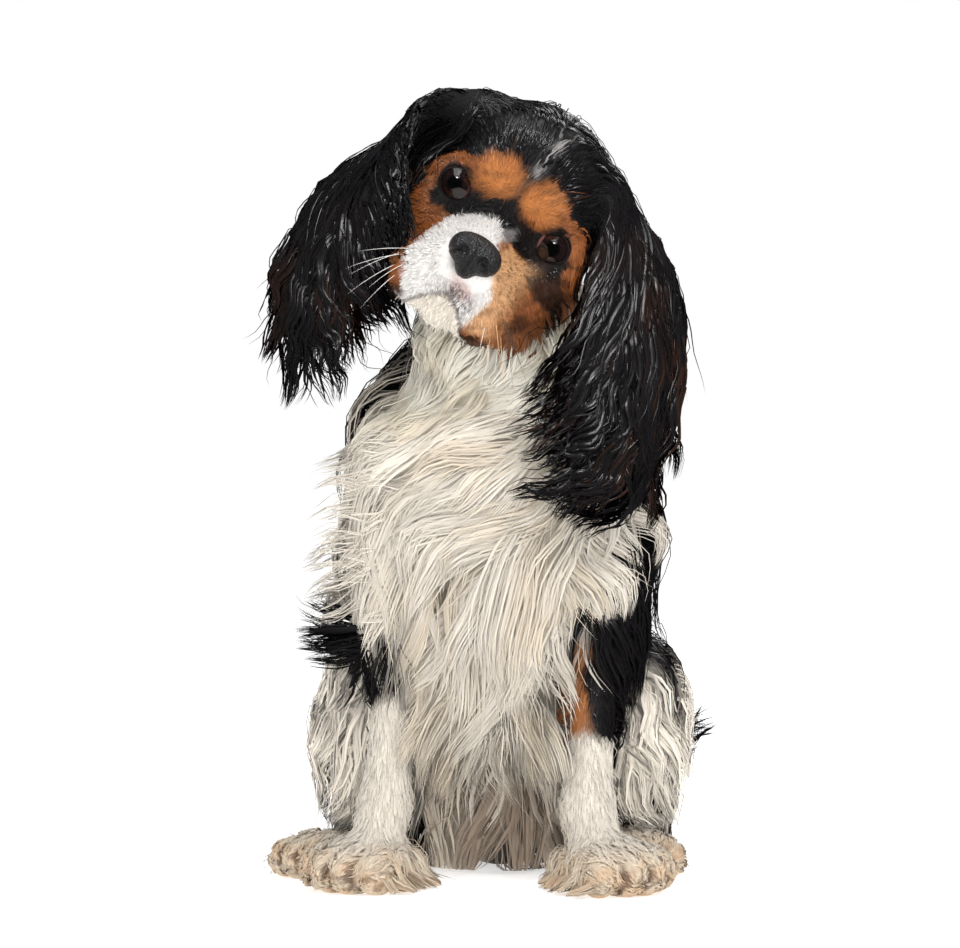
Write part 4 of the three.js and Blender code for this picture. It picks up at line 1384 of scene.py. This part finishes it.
# Eyes, lids and nose
def make_eye(side, s):
    bm = bmesh.new()
    bmesh.ops.create_icosphere(bm, subdivisions=5, radius=EYE_RADIUS / 1000)
    ball = bpy.data.meshes.new(f"eyeball_{side}")
    bm.to_mesh(ball)
    bm.free()
    q = coordinates(ball) * 1000
    away = np.hypot(q[:, 0], q[:, 2])
    front = q[:, 1] < 0
    pupil = (1 - smooth(3.6, 4.6, away)) * front
    ray = np.arctan2(q[:, 2], q[:, 0])
    amber = 0.75 + 0.25 * np.sin(ray * 23) * np.sin(ray * 9 + 1)
    iris = front * amber * smooth(8.0, 6.4, away)
    colour = painted(np.array([0.017, 0.009, 0.009]), iris, np.tile(BLACK * 0.4, (len(q), 1)))
    colour = painted(np.array([0.002, 0.002, 0.002]), pupil, colour)
    corner = smooth(6.6, 7.4, -s * q[:, 0]) * (1 - smooth(3.5, 5.5, np.abs(q[:, 2]))) * front
    colour = painted(np.array([0.26, 0.11, 0.10]), corner * (0.9 if s > 0 else 0.25), colour)
    q[:, 1] -= 0.9 * (1 - smooth(3, 6.5, away)) * front
    set_colours(ball, colour)
    centre = head_point(s * EYE_APART / 2, 0, 0)
    set_coordinates(ball, to_frame(q @ HEAD_TURN.T + centre))
    made = piece(f"eyeball_{side}", ball, eye_finish())
    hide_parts(f"eye_{side}")


def make_lid(side, s):
    bm = bmesh.new()
    ring = bmesh.ops.create_circle(bm, segments=12, radius=0.75, matrix=Matrix.Translation((8.45, 0, 0)))
    bmesh.ops.spin(bm, geom=ring["verts"] + list(bm.edges), cent=(0, 0, 0), axis=(0, 1, 0), dvec=(0, 0, 0),
                   angle=2 * math.pi, steps=48, use_merge=True, use_duplicate=False)
    bmesh.ops.remove_doubles(bm, verts=bm.verts, dist=0.01)
    bmesh.ops.recalc_face_normals(bm, faces=bm.faces)
    mesh = bpy.data.meshes.new(f"lid_{side}")
    bm.to_mesh(mesh)
    bm.free()
    q = coordinates(mesh)
    q[:, 2] *= 0.92
    q = q @ turned(0, 0, -s * 5).T + np.array([s * EYE_APART / 2, -5.3, 0])
    set_coordinates(mesh, to_frame(q @ HEAD_TURN.T + HEAD_SPOT))
    piece(f"lid_{side}", mesh, lid_finish())


def make_nose():
    mesh = remeshed("nose_pad", nose.balls, 0.6)
    settle(mesh, nose, 2)
    q = in_head(coordinates(mesh) * 1000 - SHIFT)
    for s in (-1, 1):
        hole = np.hypot((q[:, 0] - s * 6.0) / 3.2, (q[:, 2] + 20.6) / 3.2)
        down = (np.abs(q[:, 0]) - 9.5) * 0.5
        slit = np.hypot((q[:, 0] - s * 9.8) / 4.4, (q[:, 2] + 23.2 + down) / 1.5)
        front = q[:, 1] < -46
        q[:, 1] += front * (2.8 * (1 - smooth(0.5, 1.1, hole)) + 1.8 * (1 - smooth(0.5, 1.1, slit)))
    q[:, 1] += 1.2 * (1 - smooth(0.0, 1.0, np.abs(q[:, 0]))) * (q[:, 2] < -14) * (q[:, 1] < -48)
    set_coordinates(mesh, to_frame(q @ HEAD_TURN.T + HEAD_SPOT))
    made = piece("nose_pad", mesh, nose_finish())
    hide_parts("nose")


# Whiskers: the root in the head's own frame, the way each goes in the room, its length and how far it sags
WHISKERS = [
    ((-25, -36, -35), (-1.0, -0.25, 0.10), 34, 5, SNOW),
    ((-26, -34, -38), (-1.0, -0.30, -0.05), 38, 7, SNOW),
    ((-27, -32, -36), (-1.0, -0.10, -0.20), 36, 7, SNOW),
    ((-27, -34, -42), (-1.0, -0.20, -0.35), 36, 8, SNOW),
    ((-25, -36, -44), (-1.0, -0.30, -0.60), 32, 8, SNOW),
    ((-24, -38, -40), (-0.9, -0.50, -0.30), 30, 8, SNOW),
    ((24, -36, -40), (0.10, -0.60, -0.90), 34, 4, PALE_TAN),
    ((26, -34, -44), (-0.20, -0.40, -1.0), 30, 3, PALE_TAN),
    ((22, -38, -42), (-0.25, -0.60, -0.9), 28, 4, SNOW),
    ((28, -30, -40), (0.35, -0.40, -0.9), 40, 5, BLACK),
    ((27, -32, -36), (0.10, -0.45, -0.9), 44, 5, BLACK),
    ((29, -28, -44), (0.05, -0.30, -1.0), 34, 3, PALE_TAN),
]
WHISKER_WIDTH = 0.42
WHISKER_POINTS = 9


def make_whiskers():
    steps = np.linspace(0, 1, WHISKER_POINTS)
    paths, patches = [], []
    for root, way, length, sag, _ in WHISKERS:
        start = head_point(*root)
        run = unit(np.array(way))
        line = start + run * (length * steps)[:, None]
        line[:, 2] -= sag * steps**2
        paths.append(line)
        nearest = ((ground.middle - start) ** 2).sum(1).argmin()
        patches.append(ground.patches[nearest].mean(0))
    count = len(paths)
    outs = np.tile(np.array([0.1, -1.0, 0.2]), (count, WHISKER_POINTS, 1))
    thin = np.full(count, WHISKER_WIDTH)
    colours = np.array([colour for *_, colour in WHISKERS])
    mesh = strand_mesh("whiskers", np.array(paths), outs, thin, thin, np.zeros(count), colours,
                       np.array(patches))
    piece("whiskers", mesh, FUR)


CLAW_SLANT = 118


def make_claws(name, paw, heading, size):
    """Four small tapered claws at the ends of a paw's toes, pointing forward and down."""
    bm = bmesh.new()
    for n in TOES:
        x, y = paw_spot(paw, heading, size, 29 - 3.6 * n * n, n * TOE_APART)
        aside = Matrix.Rotation(math.radians(heading + n * TOE_FAN), 4, "Z")
        down = Matrix.Rotation(math.radians(CLAW_SLANT), 4, "X")
        place = Matrix.Translation(to_frame((x, y, 7 * size))) @ aside @ down
        bmesh.ops.create_cone(bm, cap_ends=True, segments=12, radius1=0.0017, radius2=0.0004, depth=0.0055,
                              matrix=place)
    mesh = bpy.data.meshes.new(name)
    bm.to_mesh(mesh)
    bm.free()
    piece(name, mesh, claw_finish())


for side, s in (("right", -1), ("left", 1)):
    make_eye(side, s)
    make_lid(side, s)
    make_claws(f"claws_fore_{side}", FORE[side][2], FORE[side][3], FORE_SIZE)
    make_claws(f"claws_hind_{side}", HIND[side][1], HIND[side][2], HIND_SIZE)
make_nose()
make_whiskers()


# The stage
def make_floor():
    bm = bmesh.new()
    bmesh.ops.create_grid(bm, x_segments=8, y_segments=8, size=200)
    mesh = bpy.data.meshes.new("floor")
    bm.to_mesh(mesh)
    bm.free()
    made = bpy.data.objects.new("floor", mesh)
    bpy.context.scene.collection.objects.link(made)
    mesh.materials.append(floor_finish())
    made.visible_glossy = False


def make_lamp(name, spot, aim, size, power, mirrored=True):
    data = bpy.data.lights.new(name, "AREA")
    data.shape = "SQUARE"
    data.size = size
    data.energy = power
    lamp = bpy.data.objects.new(name, data)
    lamp.visible_glossy = mirrored
    lamp.location = spot
    lamp.rotation_euler = (Vector(aim) - Vector(spot)).to_track_quat("-Z", "Y").to_euler()
    bpy.context.scene.collection.objects.link(lamp)


def make_camera():
    data = bpy.data.cameras.new("camera")
    data.lens = LENS
    data.clip_end = 500
    camera = bpy.data.objects.new("camera", data)
    x, y, _ = to_frame((CAMERA_ASIDE, -CAMERA_AWAY, 0))
    camera.location = (x, y, CAMERA_HEIGHT / 1000)
    camera.rotation_euler = (math.pi / 2, 0, 0)
    bpy.context.scene.collection.objects.link(camera)
    bpy.context.scene.camera = camera


def make_sun(name, aim_from, strength, spread):
    data = bpy.data.lights.new(name, "SUN")
    data.energy = strength
    data.angle = math.radians(spread)
    sun = bpy.data.objects.new(name, data)
    sun.rotation_euler = Vector(aim_from).to_track_quat("Z", "Y").to_euler()
    bpy.context.scene.collection.objects.link(sun)


def make_room():
    """A white room: the camera sees it white, and it lights the dog more softly than that."""
    world = bpy.data.worlds.new("studio")
    world.use_nodes = True
    tree = world.node_tree
    soft = tree.nodes["Background"]
    around = tree.nodes.new("ShaderNodeTexCoord")
    way = tree.nodes.new("ShaderNodeSeparateXYZ")
    tree.links.new(around.outputs["Generated"], way.inputs[0])
    upper = tree.nodes.new("ShaderNodeMapRange")
    for socket, value in enumerate((None, -0.1, 1.0, ROOM_LOW, ROOM_HIGH)):
        if value is not None:
            upper.inputs[socket].default_value = value
    tree.links.new(way.outputs["Z"], upper.inputs[0])
    tree.links.new(upper.outputs[0], soft.inputs["Strength"])
    white = tree.nodes.new("ShaderNodeBackground")
    for background in (soft, white):
        background.inputs["Color"].default_value = (1, 1, 1, 1)
    seen = tree.nodes.new("ShaderNodeLightPath")
    mix = tree.nodes.new("ShaderNodeMixShader")
    tree.links.new(seen.outputs["Is Camera Ray"], mix.inputs[0])
    tree.links.new(soft.outputs[0], mix.inputs[1])
    tree.links.new(white.outputs[0], mix.inputs[2])
    tree.links.new(mix.outputs[0], tree.nodes["World Output"].inputs["Surface"])
    world.cycles_visibility.glossy = False
    bpy.context.scene.world = world


make_floor()
make_camera()
make_room()
make_sun("key", (0.25, -0.75, 0.95), 0.4, 40)
make_lamp("front", (0.3, -1.9, 1.75), (0, 0, 0.25), 0.6, 21)
make_lamp("fill", (-0.3, -2.6, 0.25), (0, 0, 0.2), 1.6, 11, mirrored=False)
make_lamp("side_left", (-1.9, -1.2, 1.1), (0, 0, 0.2), 1.6, 8, mirrored=False)
make_lamp("side_right", (1.9, -1.2, 1.1), (0, 0, 0.2), 1.6, 8, mirrored=False)
make_lamp("top", (0.1, -0.4, 2.4), (0, 0, 0.3), 1.3, 9)
make_lamp("back", (0.9, 1.7, 1.6), (0, 0, 0.3), 1.0, 8)
bpy.context.scene.view_settings.view_transform = "Standard"
